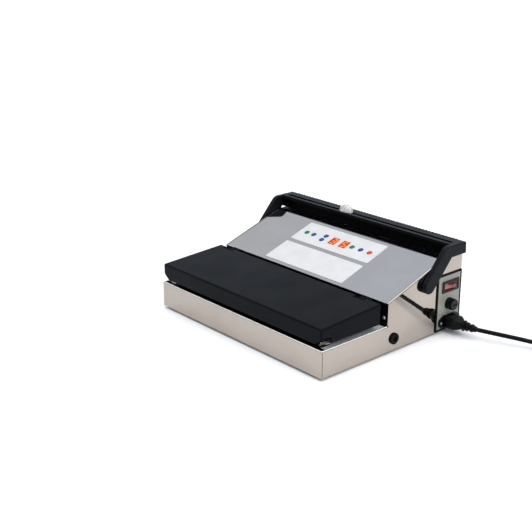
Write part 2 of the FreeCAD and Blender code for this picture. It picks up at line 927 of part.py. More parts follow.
# Handle: a moulded U of two arms and a bar, swinging on stubs in bushes in the body's sides
bar_bottom = at_z(top_height + bar_gap)
bar_top = bar_bottom + bar_height
bar_rear = at_y(body_depth - bar_inset)
bar_front = bar_rear - bar_depth
arm_half = arm_width / 2
arm_in = half_width + arm_gap
arm_out = arm_in + arm_thick
armpit = V(0, bar_front + 1.5, bar_bottom)
reach = V(0, armpit.y - pivot_y, armpit.z - pivot_z)
arm_angle = math.atan2(reach.z, reach.y) + math.asin(arm_half / reach.Length)
arm_along = V(0, math.cos(arm_angle), math.sin(arm_angle))
arm_across = V(0, -math.sin(arm_angle), math.cos(arm_angle))
pivot = V(0, pivot_y, pivot_z)
shoulder = pivot + arm_across * arm_half
knee = shoulder + arm_along * ((bar_top - shoulder.z) / arm_along.z)
heel = pivot - arm_across * arm_half
arm_outline = [
    (shoulder.y, shoulder.z),
    (knee.y, knee.z),
    (bar_rear - 1.5, bar_top),
    (bar_rear, bar_bottom),
    (armpit.y, armpit.z),
    (heel.y, heel.z),
]
arm = prism_x(arm_outline, arm_in, arm_out)


def edges_near(shape, y, z):
    """The edges along X that pass through this place in the side view."""
    return [
        e
        for e in shape.Edges
        if abs(e.BoundBox.Center.y - y) < 0.01
        and abs(e.BoundBox.Center.z - z) < 0.01
        and e.BoundBox.XLength > e.BoundBox.ZLength + 0.1
    ]


arm = arm.makeFillet(knee_radius, edges_near(arm, knee.y, knee.z))
for y, z in ((bar_rear - 1.5, bar_top), (bar_rear, bar_bottom)):
    arm = arm.makeFillet(bar_edge_radius, edges_near(arm, y, z))
arm = join([arm, rod(arm_half, V(arm_in, pivot_y, pivot_z), V(arm_out, pivot_y, pivot_z))])
arm_face = [
    e
    for e in arm.Edges
    if e.BoundBox.XLength < 0.01 and abs(e.BoundBox.XMin - arm_out) < 0.01
]
arm = arm.makeFillet(1.4, arm_face)
stub_end = inner_half - 3.5
stub = rod(stub_radius, V(stub_end, pivot_y, pivot_z), V(arm_in, pivot_y, pivot_z))
right_arm = join([arm, stub])

cutter_y = bar_front + cutter_line_inset
channel_y0 = cutter_y - cutter_channel_width / 2
channel_y1 = cutter_y + cutter_channel_width / 2
channel_top = bar_bottom + cutter_channel_height
channel_half = arm_in - cutter_end + 4.0
slot_half = arm_in - cutter_end
bar_outline = [
    (bar_front + bar_lip, bar_bottom),
    (bar_rear, bar_bottom),
    (bar_rear - 1.5, bar_top),
    (bar_front + 2 * bar_lip, bar_top),
    (bar_front, bar_top - bar_lip),
    (bar_front, bar_top - 2 * bar_lip),
    (bar_front + bar_lip, bar_top - 3 * bar_lip),
]
bar = prism_x(bar_outline, -arm_in, arm_in)
for y, z in ((bar_rear - 1.5, bar_top), (bar_rear, bar_bottom)):
    bar = bar.makeFillet(bar_edge_radius, edges_near(bar, y, z))
bar_cuts = [
    box(-channel_half, channel_half, channel_y0, channel_y1, bar_bottom - 1, channel_top),
    box(
        -slot_half,
        slot_half,
        cutter_y - cutter_slot_width / 2,
        cutter_y + cutter_slot_width / 2,
        channel_top - 1,
        bar_top + 1,
    ),
]
frame = join([bar, right_arm, mirrored_x(right_arm)])
nodes["handle_frame"] = frame.cut(Part.makeCompound(bar_cuts)).removeSplitter()

# Pivot: flanged bushes in the sides, and a washer with screw on each stub's inner end
bush_inner = inner_half - 3.0
bush_flange = bush_radius + 2.0
bush_bore = stub_radius + stub_play
bush = join(
    [
        ring(bush_radius, bush_bore, V(bush_inner, pivot_y, pivot_z), V(half_width, pivot_y, pivot_z)),
        ring(bush_flange, bush_bore, V(bush_inner, pivot_y, pivot_z), V(inner_half, pivot_y, pivot_z)),
    ]
)
nodes["pivot_bushes"] = group([bush, mirrored_x(bush)])
washer_seat = V(stub_end, pivot_y, pivot_z)
washer_thick = 1.5
washer = rod(bush_flange, washer_seat - V(washer_thick, 0, 0), washer_seat)
screw_head = rod(4.0, washer_seat - V(washer_thick + 3.0, 0, 0), washer_seat - V(washer_thick, 0, 0))
pivot_screw = join([washer, screw_head])
nodes["handle_screws"] = group([pivot_screw, mirrored_x(pivot_screw)])
bumper_x = half_width - bumper_inset
bumper_y = bar_rear - 7.0
nodes["handle_bumpers"] = group(
    [
        rod(
            bumper_radius,
            V(side * bumper_x, bumper_y, at_z(cover_top)),
            V(side * bumper_x, bumper_y, bar_bottom - running_gap),
        )
        for side in (-1, 1)
    ]
)

# Bag cutter: a slotted rail closes the channel, and carriage, blade and knob slide along it
rail = box(
    -channel_half + 0.1,
    channel_half - 0.1,
    channel_y0 + 0.1,
    channel_y1 - 0.1,
    bar_bottom,
    bar_bottom + rail_thick,
)
blade_slot = box(
    -slot_half,
    slot_half,
    cutter_y - blade_slot_width / 2,
    cutter_y + blade_slot_width / 2,
    bar_bottom - 1,
    bar_bottom + rail_thick + 1,
)
nodes["cutter_rail"] = rail.cut(blade_slot)
carriage_low = bar_bottom + rail_thick + running_gap
carriage_high = channel_top - running_gap
blade_half = carriage_length / 2 - 4.0
blade_outline = [
    (knob_rest - blade_half, carriage_low + 5.0),
    (knob_rest + blade_half, carriage_low + 5.0),
    (knob_rest + blade_half - 3.0, bar_bottom - blade_reach),
    (knob_rest - blade_half + 3.0, bar_bottom - blade_reach),
]
blade = prism_y(blade_outline, cutter_y - blade_thick / 2, cutter_y + blade_thick / 2)
nodes["cutter_blade"] = blade
carriage = box(
    knob_rest - carriage_length / 2,
    knob_rest + carriage_length / 2,
    channel_y0 + running_gap,
    channel_y1 - running_gap,
    carriage_low,
    carriage_high,
)
stem_half = cutter_slot_width / 2 - running_gap
knob_seat = bar_top + running_gap
stem = box(
    knob_rest - carriage_length / 4,
    knob_rest + carriage_length / 4,
    cutter_y - stem_half,
    cutter_y + stem_half,
    carriage_high,
    knob_seat,
)
nodes["cutter_carriage"] = join([carriage, stem]).cut(blade)
knob = Part.makeSphere(knob_length / 2)
squash = FreeCAD.Matrix()
squash.scale(V(1.0, knob_width / knob_length, 2 * knob_height / knob_length))
knob = knob.transformGeometry(squash)
knob = knob.common(box(-knob_length, knob_length, -knob_length, knob_length, 0, knob_length))
knob.translate(V(knob_rest, cutter_y, knob_seat))
nodes["cutter_knob"] = knob

# Service plate with its raised border
service_y1 = at_back(0)
plate_z0 = at_z(0.5)
plate_z1 = at_z(plate_height)
inner_plate = box(
    half_width,
    plate_face,
    service_y0 + plate_border,
    service_y1 - plate_border,
    plate_z0 + plate_border,
    plate_z1 - plate_border,
)
border = box(half_width, plate_face + plate_border_proud, service_y0, service_y1, plate_z0, plate_z1).cut(
    box(
        half_width - 1,
        plate_face + 1,
        service_y0 + plate_border,
        service_y1 - plate_border,
        plate_z0 + plate_border,
        plate_z1 - plate_border,
    )
)
inlet_low = at_z(inlet_height - inlet_flange_height / 2)
inlet_y0 = inlet_y - inlet_flange_width / 2
inlet_y1 = inlet_y + inlet_flange_width / 2
inlet_high = inlet_low + inlet_flange_height
border = border.cut(
    box(
        plate_face,
        plate_face + 1,
        inlet_y0 - sheet_gap,
        inlet_y1 + sheet_gap,
        inlet_low - sheet_gap,
        inlet_high + sheet_gap,
    )
)
nodes["side_plate"] = inner_plate.cut(Part.makeCompound(service_openings(half_width - 1, plate_face + 1)))
nodes["side_plate_border"] = border

# Switch: a bezel with a box behind it, and a rocker on two short pins
switch_z = at_z(switch_height)
bezel = slab(
    plate_face,
    plate_face + switch_rim,
    switch_y - switch_length / 2,
    switch_y + switch_length / 2,
    switch_z - switch_width / 2,
    switch_z + switch_width / 2,
    0.9,
)
switch_box = box(*switch_hole)
rocker_room_half = math.hypot(rocker_length / 2, rocker_thick / 2) + running_gap
rocker_room = box(
    half_width - switch_body_depth + 4.0,
    plate_face + switch_rim + 1,
    switch_y - rocker_room_half,
    switch_y + rocker_room_half,
    switch_z - rocker_width / 2 - running_gap,
    switch_z + rocker_width / 2 + running_gap,
)
rocker_axis = V(half_width - 3.0, switch_y, switch_z)
pin_reach = rocker_width / 2 + running_gap + 0.7
pin_hole = rod(
    rocker_pin + rocker_play,
    rocker_axis - V(0, 0, pin_reach + 0.2),
    rocker_axis + V(0, 0, pin_reach + 0.2),
)
nodes["switch_housing"] = join([bezel, switch_box]).cut(rocker_room).cut(pin_hole)
half_len = rocker_length / 2
half_thick = rocker_thick / 2
rocker_body = box(-half_thick, half_thick, -half_len, half_len, -rocker_width / 2, rocker_width / 2)
rocker_edges = [e for e in rocker_body.Edges if e.BoundBox.XMin > half_thick - 0.01]
rocker_body = rocker_body.makeFillet(1.0, rocker_edges)
rocker = join([rocker_body, rod(rocker_pin, V(0, 0, -pin_reach), V(0, 0, pin_reach))])
rocker.rotate(V(0, 0, 0), V(0, 0, 1), -rocker_tilt)
rocker.translate(rocker_axis)
nodes["power_rocker"] = rocker

# Fuse holder, with a quarter-turn cap that carries the glass fuse
fuse_seat = side_point(plate_face, fuse_axis)
collar_end = fuse_seat + V(fuse_collar_length, 0, 0)
fuse_back = side_point(half_width - fuse_body_length, fuse_axis)
holder = join([rod(fuse_collar_radius, fuse_seat, collar_end), rod(fuse_body_radius, fuse_back, fuse_seat)])
fuse_bore_start = fuse_back + V(2.0, 0, 0)
nodes["fuse_holder"] = holder.cut(rod(fuse_bore, fuse_bore_start, collar_end))
cap_start = collar_end + V(running_gap, 0, 0)
cap_end = cap_start + V(fuse_cap_length, 0, 0)
cap_head = rod(fuse_cap_radius, cap_start, cap_end)
cap_rim = [e for e in cap_head.Edges if e.BoundBox.XMin > cap_end.x - 0.01]
cap_head = cap_head.makeFillet(1.0, cap_rim)
cap_stem_radius = fuse_bore - running_gap
cap_stem_length = fuse_collar_length + 6.0
fuse_radius = 2.6
cap = join([cap_head, rod(cap_stem_radius, cap_start - V(cap_stem_length, 0, 0), cap_start)])
slot_cut = box(
    cap_end.x - 1.8,
    cap_end.x + 1,
    fuse_axis[0] - fuse_cap_radius * 0.7,
    fuse_axis[0] + fuse_cap_radius * 0.7,
    fuse_axis[1] - 0.9,
    fuse_axis[1] + 0.9,
)
glass_start = cap_start - V(24.0, 0, 0)
glass_end = cap_start - V(4.0, 0, 0)
glass = rod(fuse_radius, glass_start, glass_end)
nodes["fuse_cap"] = cap.cut(slot_cut).cut(glass)
nodes["glass_fuse"] = glass

# Mains inlet: flange with ears, cavity and three contact pins
inlet_face = plate_face + inlet_flange_thick
inlet_z = at_z(inlet_height)
middle_half = inlet_middle_width / 2
ear_half = inlet_ear_height / 2
inlet_outline = [
    (inlet_y0, inlet_z - ear_half),
    (inlet_y - middle_half, inlet_low),
    (inlet_y + middle_half, inlet_low),
    (inlet_y1, inlet_z - ear_half),
    (inlet_y1, inlet_z + ear_half),
    (inlet_y + middle_half, inlet_high),
    (inlet_y - middle_half, inlet_high),
    (inlet_y0, inlet_z + ear_half),
]
ear_flange = prism_x(inlet_outline, plate_face, inlet_face)
ear_edges = [e for e in ear_flange.Edges if e.BoundBox.XLength > inlet_flange_thick / 2]
ear_flange = ear_flange.makeFillet(inlet_corner, ear_edges)
cavity_floor = inlet_face - inlet_cavity_depth
cavity = box(
    cavity_floor,
    inlet_face + 1,
    inlet_y - inlet_cavity_width / 2,
    inlet_y + inlet_cavity_width / 2,
    inlet_z - inlet_cavity_height / 2,
    inlet_z + inlet_cavity_height / 2,
)
inlet = join([ear_flange, box(*inlet_hole)]).cut(cavity)
contact_places = ((-7.0, -2.0), (7.0, -2.0), (0.0, 3.0))
contact_half = (2.0, 1.0)
contact_length = inlet_cavity_depth - 4.0
contacts = [
    box(
        cavity_floor,
        cavity_floor + contact_length,
        inlet_y + dy - contact_half[0],
        inlet_y + dy + contact_half[0],
        inlet_z + dz - contact_half[1],
        inlet_z + dz + contact_half[1],
    )
    for dy, dz in contact_places
]
ear_holes = [
    rod(screw_hole, side_point(plate_face - 1, place), side_point(inlet_face + 1, place))
    for place in inlet_screw_places
]
nodes["power_inlet"] = join([inlet] + contacts).cut(Part.makeCompound(ear_holes))

# Rubber plugs low on each side
plug_seat = side_point(half_width, plug_place)
plug_cap = rod(side_plug_radius, plug_seat, plug_seat + V(side_plug_proud, 0, 0))
plug_rim = [e for e in plug_cap.Edges if e.BoundBox.XMin > plug_seat.x + side_plug_proud - 0.01]
plug_cap = plug_cap.makeFillet(1.0, plug_rim)
plug_neck = rod(side_plug_neck, plug_seat - V(sheet, 0, 0), plug_seat)
plug_lip = rod(side_plug_lip, plug_seat - V(sheet + 2.0, 0, 0), plug_seat - V(sheet, 0, 0))
plug_hollow = rod(side_plug_hollow, plug_seat + V(0.5, 0, 0), plug_seat + V(side_plug_proud + 1, 0, 0))
side_plug = join([plug_cap, plug_neck, plug_lip]).cut(plug_hollow)
nodes["side_plugs"] = group([side_plug, mirrored_x(side_plug)])

# Feet, screwed through the pan's floor
feet = []
for x, y in foot_places:
    foot = Part.makeCone(foot_radius * 0.9, foot_radius, foot_height, V(x, y, 0), V(0, 0, 1))
    recess = rod(foot_radius * 0.5, V(x, y, 0), V(x, y, foot_height / 2))
    feet.append(foot.cut(recess).cut(rod(foot_hole_radius, V(x, y, 0), V(x, y, foot_height))))
nodes["feet"] = group(feet)

# Fasteners: foot, rear wall, riser, hinge, service plate and inlet screws
fasteners = []
for x, y in foot_places:
    fasteners.append(screw(3.6, 1.6, 2.1, 6.0, V(x, y, foot_height / 2), V(0, 0, -1)))
for x, z in rear_screw_places:
    fasteners.append(screw(3.4, 1.8, screw_shank, 5.0, V(x, rear_face, z), V(0, 1, 0)))
for x in (-riser_screw_x, riser_screw_x):
    fasteners.append(screw(2.8, 1.8, screw_shank, 5.0, V(x, deck_rear, bracket_screw_z), V(0, -1, 0)))
for x in bracket_screws_x:
    seat = V(x, deck_rear - bracket_thick, bracket_screw_z)
    fasteners.append(screw(2.6, 1.6, screw_shank, 5.0, seat, V(0, -1, 0)))
for place in plate_screw_places:
    fasteners.append(screw(2.0, 1.0, screw_shank, 3.0, side_point(plate_face, place), V(1, 0, 0)))
for place in inlet_screw_places:
    fasteners.append(screw(2.2, 1.2, screw_shank, 7.0, side_point(inlet_face, place), V(1, 0, 0)))
nodes["case_screws"] = group(fasteners)

# Vacuum pump, its motor and the shaft with fan that run through both
pan_floor = at_z(sheet)
motor_y = at_y(motor_setback)
motor_z = at_z(motor_height)
motor_start = V(motor_left, motor_y, motor_z)
motor_end = motor_start + V(motor_length, 0, 0)
pump_left = motor_left - pump_length
shaft_hole = rod(shaft_radius + shaft_play, motor_start - V(20.0, 0, 0), motor_end)
cradle = box(
    motor_left + 8.0,
    motor_left + motor_length - 8.0,
    motor_y - 0.8 * motor_radius,
    motor_y + 0.8 * motor_radius,
    pan_floor,
    motor_z - 0.5 * motor_radius,
)
end_bell = ring(motor_radius + 1.5, shaft_radius + shaft_play, motor_start, motor_start + V(8.0, 0, 0))
nodes["pump_motor"] = join([rod(motor_radius, motor_start, motor_end), cradle, end_bell]).cut(shaft_hole)
pump_block = slab(
    pump_left,
    motor_left,
    motor_y - pump_width / 2,
    motor_y + pump_width / 2,
    pan_floor,
    pan_floor + pump_height,
    4.0,
)
pump_port_z = motor_z + 8.0
pump_port_x = pump_left + 0.55 * pump_length
pump_front = motor_y - pump_width / 2
pump_port = V(pump_port_x, pump_front, pump_port_z)
hose_end = pump_port - V(0, 5.0, 0)
pump_stub = rod(hose_radius, hose_end, pump_port)
pump_head_foot = V(pump_left + 0.5 * pump_length, motor_y, pan_floor + pump_height)
pump_head = rod(pump_head_radius, pump_head_foot, pump_head_foot + V(0, 0, pump_head_height))
nodes["vacuum_pump"] = join([pump_block, pump_stub, pump_head]).cut(shaft_hole)
shaft_end = motor_end + V(fan_width + 8.0, 0, 0)
nodes["motor_shaft"] = rod(shaft_radius, motor_start - V(19.0, 0, 0), shaft_end)
fan_start = motor_end + V(5.0, 0, 0)
fan_end = fan_start + V(fan_width, 0, 0)
blade_parts = [rod(8.0, fan_start, fan_end)]
fan_blades = 7
for number in range(fan_blades):
    blade_plate = box(
        fan_start.x, fan_end.x, motor_y - 1.0, motor_y + 1.0, motor_z + 5.0, motor_z + fan_radius
    )
    blade_plate.rotate(V(fan_start.x, motor_y, motor_z + 14.0), V(0, 0, 1), 25.0)
    blade_plate.rotate(V(0, motor_y, motor_z), V(1, 0, 0), number * 360.0 / fan_blades)
    blade_parts.append(blade_plate)
nodes["cooling_fan"] = join(blade_parts).cut(rod(shaft_radius, motor_end, shaft_end))

# Release valve on the trough's port
valve_length = 24.0
valve_half = 13.0
valve_z0 = port_z - 12.0
valve_block = slab(
    port_offset - valve_half,
    port_offset + valve_half,
    valve_y0,
    valve_y0 + valve_length,
    valve_z0,
    at_z(deck_top - sheet),
    2.0,
)
valve_out = V(port_offset, valve_y0 + valve_length + 6.0, port_z)
nodes["release_valve"] = join(
    [valve_block, rod(hose_radius, V(port_offset, valve_y0 + valve_length, port_z), valve_out)]
)


# Soft lines: straight runs joined by tangent arcs, each as large as its runs allow
def rounded_path(points, name):
    edges = []
    radii = []
    start = points[0]
    for before, corner, after in zip(points, points[1:], points[2:]):
        run_in = corner - before
        run_out = after - corner
        turn = run_in.getAngle(run_out)
        share = 0.45 * min(run_in.Length, run_out.Length)
        radii.append(share / math.tan(turn / 2))
        enter = corner - V(run_in).normalize() * share
        leave = corner + V(run_out).normalize() * share
        bisector = (V(run_out).normalize() - V(run_in).normalize()).normalize()
        crown = corner + bisector * (radii[-1] / math.cos(turn / 2) - radii[-1])
        edges.append(Part.LineSegment(start, enter).toShape())
        edges.append(Part.Arc(enter, crown, leave).toShape())
        start = leave
    edges.append(Part.LineSegment(start, points[-1]).toShape())
    print(name, "bend radii", [round(r, 1) for r in radii])
    return Part.Wire(edges)


def swept(path, radius, name):
    """A round tube along a path of lines and arcs."""
    first = path.OrderedEdges[0]
    start = first.valueAt(first.FirstParameter)
    along = first.tangentAt(first.FirstParameter)
    section = Part.Wire(Part.makeCircle(radius, start, along))
    tube = path.makePipeShell([section], True, False)
    ideal = math.pi * radius**2 * path.Length
    print(name, "length", round(path.Length, 1), "volume share", round(tube.Volume / ideal, 4))
    return tube


hose_lead = 13.0
hose_path = rounded_path(
    [valve_out, valve_out + V(0, hose_lead, 0), hose_end - V(0, hose_lead, 0), hose_end], "vacuum_hose"
)
hose = swept(hose_path, hose_radius, "vacuum_hose")
nodes["vacuum_hose"] = hose.cut(swept(hose_path, hose_bore, "vacuum_hose bore"))

# Transformer, set behind the riser
core_x = 60.0
core_width = 66.0
core_depth = 56.0
core_height = 55.0
core_riser_gap = 14.0
winding_overhang = 8.0
winding_inset = 10.0
winding_corner = 6.0
core_y = at_y(riser_setback + core_riser_gap)
core = box(core_x, core_x + core_width, core_y, core_y + core_depth, pan_floor, pan_floor + core_height)
winding = slab(
    core_x + winding_inset,
    core_x + core_width - winding_inset,
    core_y - winding_overhang,
    core_y + core_depth + winding_overhang,
    pan_floor + winding_inset,
    pan_floor + core_height - winding_inset,
    winding_corner,
)
nodes["transformer"] = join([core, winding])

# Power board on four standoffs along the rear wall
power_x0 = 24.0
power_x1 = 146.0
power_depth = 52.0
power_rear_gap = 6.0
standoff = 12.0
standoff_radius = 3.0
standoff_inset = 5.0
power_y1 = at_back(power_rear_gap)
power_y0 = power_y1 - power_depth
board_face = pan_floor + standoff + board_thick
power_parts = [box(power_x0, power_x1, power_y0, power_y1, pan_floor + standoff, board_face)]
for x in (power_x0 + standoff_inset, power_x1 - standoff_inset):
    for y in (power_y0 + standoff_inset, power_y1 - standoff_inset):
        power_parts.append(rod(standoff_radius, V(x, y, pan_floor), V(x, y, pan_floor + standoff)))
# Parts on the board: place and size of relay, heat sink and choke, then the two capacitors
board_blocks = (
    (12.0, 10.0, 18.0, 28.0, 16.0),
    (36.0, 6.0, 5.0, 40.0, 28.0),
    (88.0, 10.0, 24.0, 32.0, 12.0),
)
capacitor_places = ((56.0, 20.0), (74.0, 20.0))
capacitor_radius = 7.0
capacitor_height = 22.0
for dx, dy, width, depth, height in board_blocks:
    x = power_x0 + dx
    y = power_y0 + dy
    power_parts.append(box(x, x + width, y, y + depth, board_face, board_face + height))
for dx, dy in capacitor_places:
    foot_point = V(power_x0 + dx, power_y0 + dy, board_face)
    power_parts.append(rod(capacitor_radius, foot_point, foot_point + V(0, 0, capacitor_height)))
nodes["power_board"] = join(power_parts)

# Mains lead: connector in the inlet, free stretch, wound length with its tie, and plug
route_start = cord_route[0]
nose = box(
    cavity_floor + sheet_gap,
    inlet_face,
    inlet_y - inlet_cavity_width / 2 + sheet_gap,
    inlet_y + inlet_cavity_width / 2 - sheet_gap,
    inlet_z - inlet_cavity_height / 2 + sheet_gap,
    inlet_z + inlet_cavity_height / 2 - sheet_gap,
)
nose_slots = [
    box(
        cavity_floor,
        cavity_floor + contact_length + sheet_gap,
        inlet_y + dy - contact_half[0] - sheet_gap,
        inlet_y + dy + contact_half[0] + sheet_gap,
        inlet_z + dz - contact_half[1] - sheet_gap,
        inlet_z + dz + contact_half[1] + sheet_gap,
    )
    for dy, dz in contact_places
]
nose = nose.cut(Part.makeCompound(nose_slots))


def oval_section(x, middle_y, middle_z, width, height, corner):
    """A rounded rectangle across X, as a wire."""
    face = Part.makePlane(width, height, V(0, -width / 2, -height / 2), V(1, 0, 0), V(0, 1, 0))
    solid = face.extrude(V(1, 0, 0))
    upright = [e for e in solid.Edges if e.BoundBox.XLength > 0.5]
    rounded = solid.makeFillet(corner, upright)
    cap_face = [f for f in rounded.Faces if f.BoundBox.XMax < 0.01][0]
    wire = cap_face.OuterWire
    wire.translate(V(x, middle_y, middle_z))
    return wire


connector_front = V(inlet_face + grip_length, inlet_y, inlet_z)
grip = Part.makeLoft(
    [
        oval_section(inlet_face, inlet_y, inlet_z, grip_width, grip_height, grip_corner),
        oval_section(inlet_face + grip_straight, inlet_y, inlet_z, grip_width, grip_height, grip_corner),
        oval_section(connector_front.x, inlet_y, inlet_z, grip_neck, grip_neck, grip_corner),
    ],
    True,
    True,
)
relief_length = (route_start - connector_front).Length
relief_along = (route_start - connector_front).normalize()
relief_parts = [
    rod(collar_radius, connector_front, connector_front + relief_along * collar_length),
    Part.makeCone(relief_radius_wide, relief_radius_thin, relief_length, connector_front, relief_along),
]
for start, length, radius in relief_beads:
    bead_start = connector_front + relief_along * start
    bead = rod(radius, bead_start, bead_start + relief_along * length)
    rims = [e for e in bead.Edges if e.Length > length + 1.0]
    relief_parts.append(bead.makeFillet(bead_round, rims))
nodes["cord_connector"] = join([nose, grip] + relief_parts)
nodes["power_cord"] = swept(rounded_path(list(cord_route), "power_cord"), cord_radius, "power_cord")

# Wound length: spirals in on the table, climbs in the half turn where it reverses, spirals out on top
coil_outer_radius = coil_inner_radius + coil_pitch * coil_turns_per_layer
coil_start = cord_route[-1]
heading = math.radians(coil_heading)
lead_in = V(math.cos(heading), math.sin(heading), 0) * (2 * cord_radius)
coil_tangent = coil_start + lead_in
coil_centre = coil_tangent + V(-math.sin(heading), math.cos(heading), 0) * coil_outer_radius
coil_first_angle = heading - math.pi / 2
coil_half_sweep = 2 * math.pi * coil_turns_per_layer
climb_half = math.pi / 2


def coil_point(sweep):
    """A place on the coil's centre line, and its direction, at an angle counted from its start."""
    from_middle = sweep - coil_half_sweep
    radius = coil_inner_radius + coil_pitch * abs(from_middle) / (2 * math.pi)
    growth = coil_pitch / (2 * math.pi) * (1 if from_middle > 0 else -1)
    if abs(from_middle) < 1e-9:
        growth = 0.0
    if abs(sweep) < 1e-9 or abs(sweep - 2 * coil_half_sweep) < 1e-9:
        growth = 0.0
    climb = min(max((from_middle + climb_half) / (2 * climb_half), 0.0), 1.0)
    rate = coil_pitch / (2 * climb_half) if abs(from_middle) < climb_half - 1e-9 else 0.0
    angle = coil_first_angle + sweep
    outward = V(math.cos(angle), math.sin(angle), 0)
    forward = V(-math.sin(angle), math.cos(angle), 0)
    place = V(coil_centre.x, coil_centre.y, coil_start.z + coil_pitch * climb) + outward * radius
    return place, (forward * radius + outward * growth + V(0, 0, rate)).normalize()


def arc_between(start, along, end):
    """The circular arc that leaves start along this direction and reaches end."""
    chord = end - start
    normal = chord - along * chord.dot(along)
    if normal.Length < 1e-6 * chord.Length:
        return Part.LineSegment(start, end).toShape()
    radius = chord.Length**2 / (2 * normal.Length)
    centre = start + V(normal).normalize() * radius
    middle = start + chord * 0.5 - centre
    return Part.Arc(start, centre + middle.normalize() * radius, end).toShape()


def biarc(start, start_along, end, end_along):
    """Two tangent arcs from one place and direction to another."""
    span = end - start
    total = start_along + end_along
    bend = 2 * (1 - start_along.dot(end_along))
    reach_to = span.dot(total)
    handle = (-reach_to + math.sqrt(reach_to**2 + bend * span.dot(span))) / bend
    joint = (start + end + (start_along - end_along) * handle) * 0.5
    joint_along = (end - end_along * handle - start - start_along * handle).normalize()
    return [arc_between(start, start_along, joint), arc_between(joint, joint_along, end)]


quarter = math.pi / 2
sweeps = [0.0]
while sweeps[-1] + 1.5 * quarter < coil_half_sweep - climb_half:
    sweeps.append(sweeps[-1] + quarter)
for stop in (coil_half_sweep - climb_half, coil_half_sweep, coil_half_sweep + climb_half):
    sweeps.append(stop)
mirrored_sweeps = [2 * coil_half_sweep - s for s in sweeps]
sweeps = sorted(set(round(s, 9) for s in sweeps + mirrored_sweeps))
coil_edges = [Part.LineSegment(coil_start, coil_tangent).toShape()]
for first, second in zip(sweeps, sweeps[1:]):
    (place_a, along_a), (place_b, along_b) = coil_point(first), coil_point(second)
    coil_edges += biarc(place_a, along_a, place_b, along_b)
coil_last, coil_last_along = coil_point(sweeps[-1])
coil_end = coil_last + coil_last_along * coil_tail
coil_edges.append(Part.LineSegment(coil_last, coil_end).toShape())
coil_path = Part.Wire(coil_edges)
nodes["cord_coil"] = swept(coil_path, cord_radius, "cord_coil")
line = coil_path.discretize(Distance=2.0)
apart = int(6 * cord_radius)
least = min(
    (a - b).Length for i, a in enumerate(line) for b in line[i + apart :: 2]
)
print("cord_coil least gap to itself", round(least - 2 * cord_radius, 2))

# Tie: a flat band round the bundle of turns, square to them
tie_angle = coil_first_angle + math.radians(290.0)
tie_radial = V(math.cos(tie_angle), math.sin(tie_angle), 0)
tie_gap = 0.2
bundle_in = coil_inner_radius - cord_radius - tie_gap
bundle_out = coil_outer_radius + cord_radius + tie_gap
bundle_low = coil_start.z - cord_radius - tie_gap
bundle_high = coil_start.z + coil_pitch + cord_radius + tie_gap
tie = box(
    bundle_in - tie_thick,
    bundle_out + tie_thick,
    -tie_width / 2,
    tie_width / 2,
    bundle_low - tie_thick,
    bundle_high + tie_thick,
).cut(box(bundle_in, bundle_out, -tie_width, tie_width, bundle_low, bundle_high))
tie.rotate(V(0, 0, 0), V(0, 0, 1), math.degrees(tie_angle))
tie.translate(V(coil_centre.x, coil_centre.y, 0))
nodes["cord_tie"] = tie

# Plug: strain relief, moulded body, two flat blades and a round earth pin
plug_along = coil_last_along
plug_side = V(-plug_along.y, plug_along.x, 0)
plug_back = coil_end + plug_along * plug_relief
plug_thick = 2 * coil_end.z
plug_body = slab(0, plug_length, -plug_width / 2, plug_width / 2, 0, plug_thick, 5.0)
plug_top = [e for e in plug_body.Edges if e.BoundBox.ZMin > plug_thick - 0.01]
plug_body = plug_body.makeFillet(2.5, plug_top)
blades = [
    box(plug_length, plug_length + 16.0, dy - 0.8, dy + 0.8, plug_thick / 2 - 3.2, plug_thick / 2 + 3.2)
    for dy in (-6.35, 6.35)
]
earth = rod(2.4, V(plug_length, 0, plug_thick / 2 + 5.5), V(plug_length + 18.0, 0, plug_thick / 2 + 5.5))
plug = join([plug_body, earth] + blades)
plug.rotate(V(0, 0, 0), V(0, 0, 1), math.degrees(math.atan2(plug_along.y, plug_along.x)))
plug.translate(V(plug_back.x, plug_back.y, 0))
plug_neck = Part.makeCone(cord_radius + 0.9, 7.0, plug_relief, coil_end, plug_along)
nodes["mains_plug"] = join([plug, plug_neck])

os.makedirs("parts", exist_ok=True)
for name, shape in nodes.items():
    solids = shape.Solids
    if not solids or not shape.isValid():
        print("check", name, len(solids), shape.isValid())
    shape.exportStep("parts/" + name + ".step")
print(len(nodes), "nodes")
print("lid hinge axis", round(hinge_y, 3), round(hinge_z, 3))
print("handle pivot", round(pivot_y, 3), round(pivot_z, 3), "arm angle", round(math.degrees(arm_angle), 2))
print("panel angle", round(math.degrees(panel_angle), 3), "rocker axis", rocker_axis)
carriage_span = channel_half - carriage_length / 2
print("cutter travel", round(-carriage_span - knob_rest, 2), round(carriage_span - knob_rest, 2))
print("fuse axis", fuse_axis, "motor axis", motor_y, motor_z, "coil centre", coil_centre, "plug", plug_back)
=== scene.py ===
# %% [markdown]
# A table-top vacuum sealer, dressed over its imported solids.
# The solids carry every measured shape. This script gives each of them a finish, and swaps the soft or finely
# detailed ones for better meshes: the mains lead and its ends, the gaskets, the tape, the screws, the rocker
# and the knob.

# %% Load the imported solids
import bmesh
import bpy
import json
from math import cos, exp, pi, radians, sin, sqrt
from mathutils import Matrix, Vector


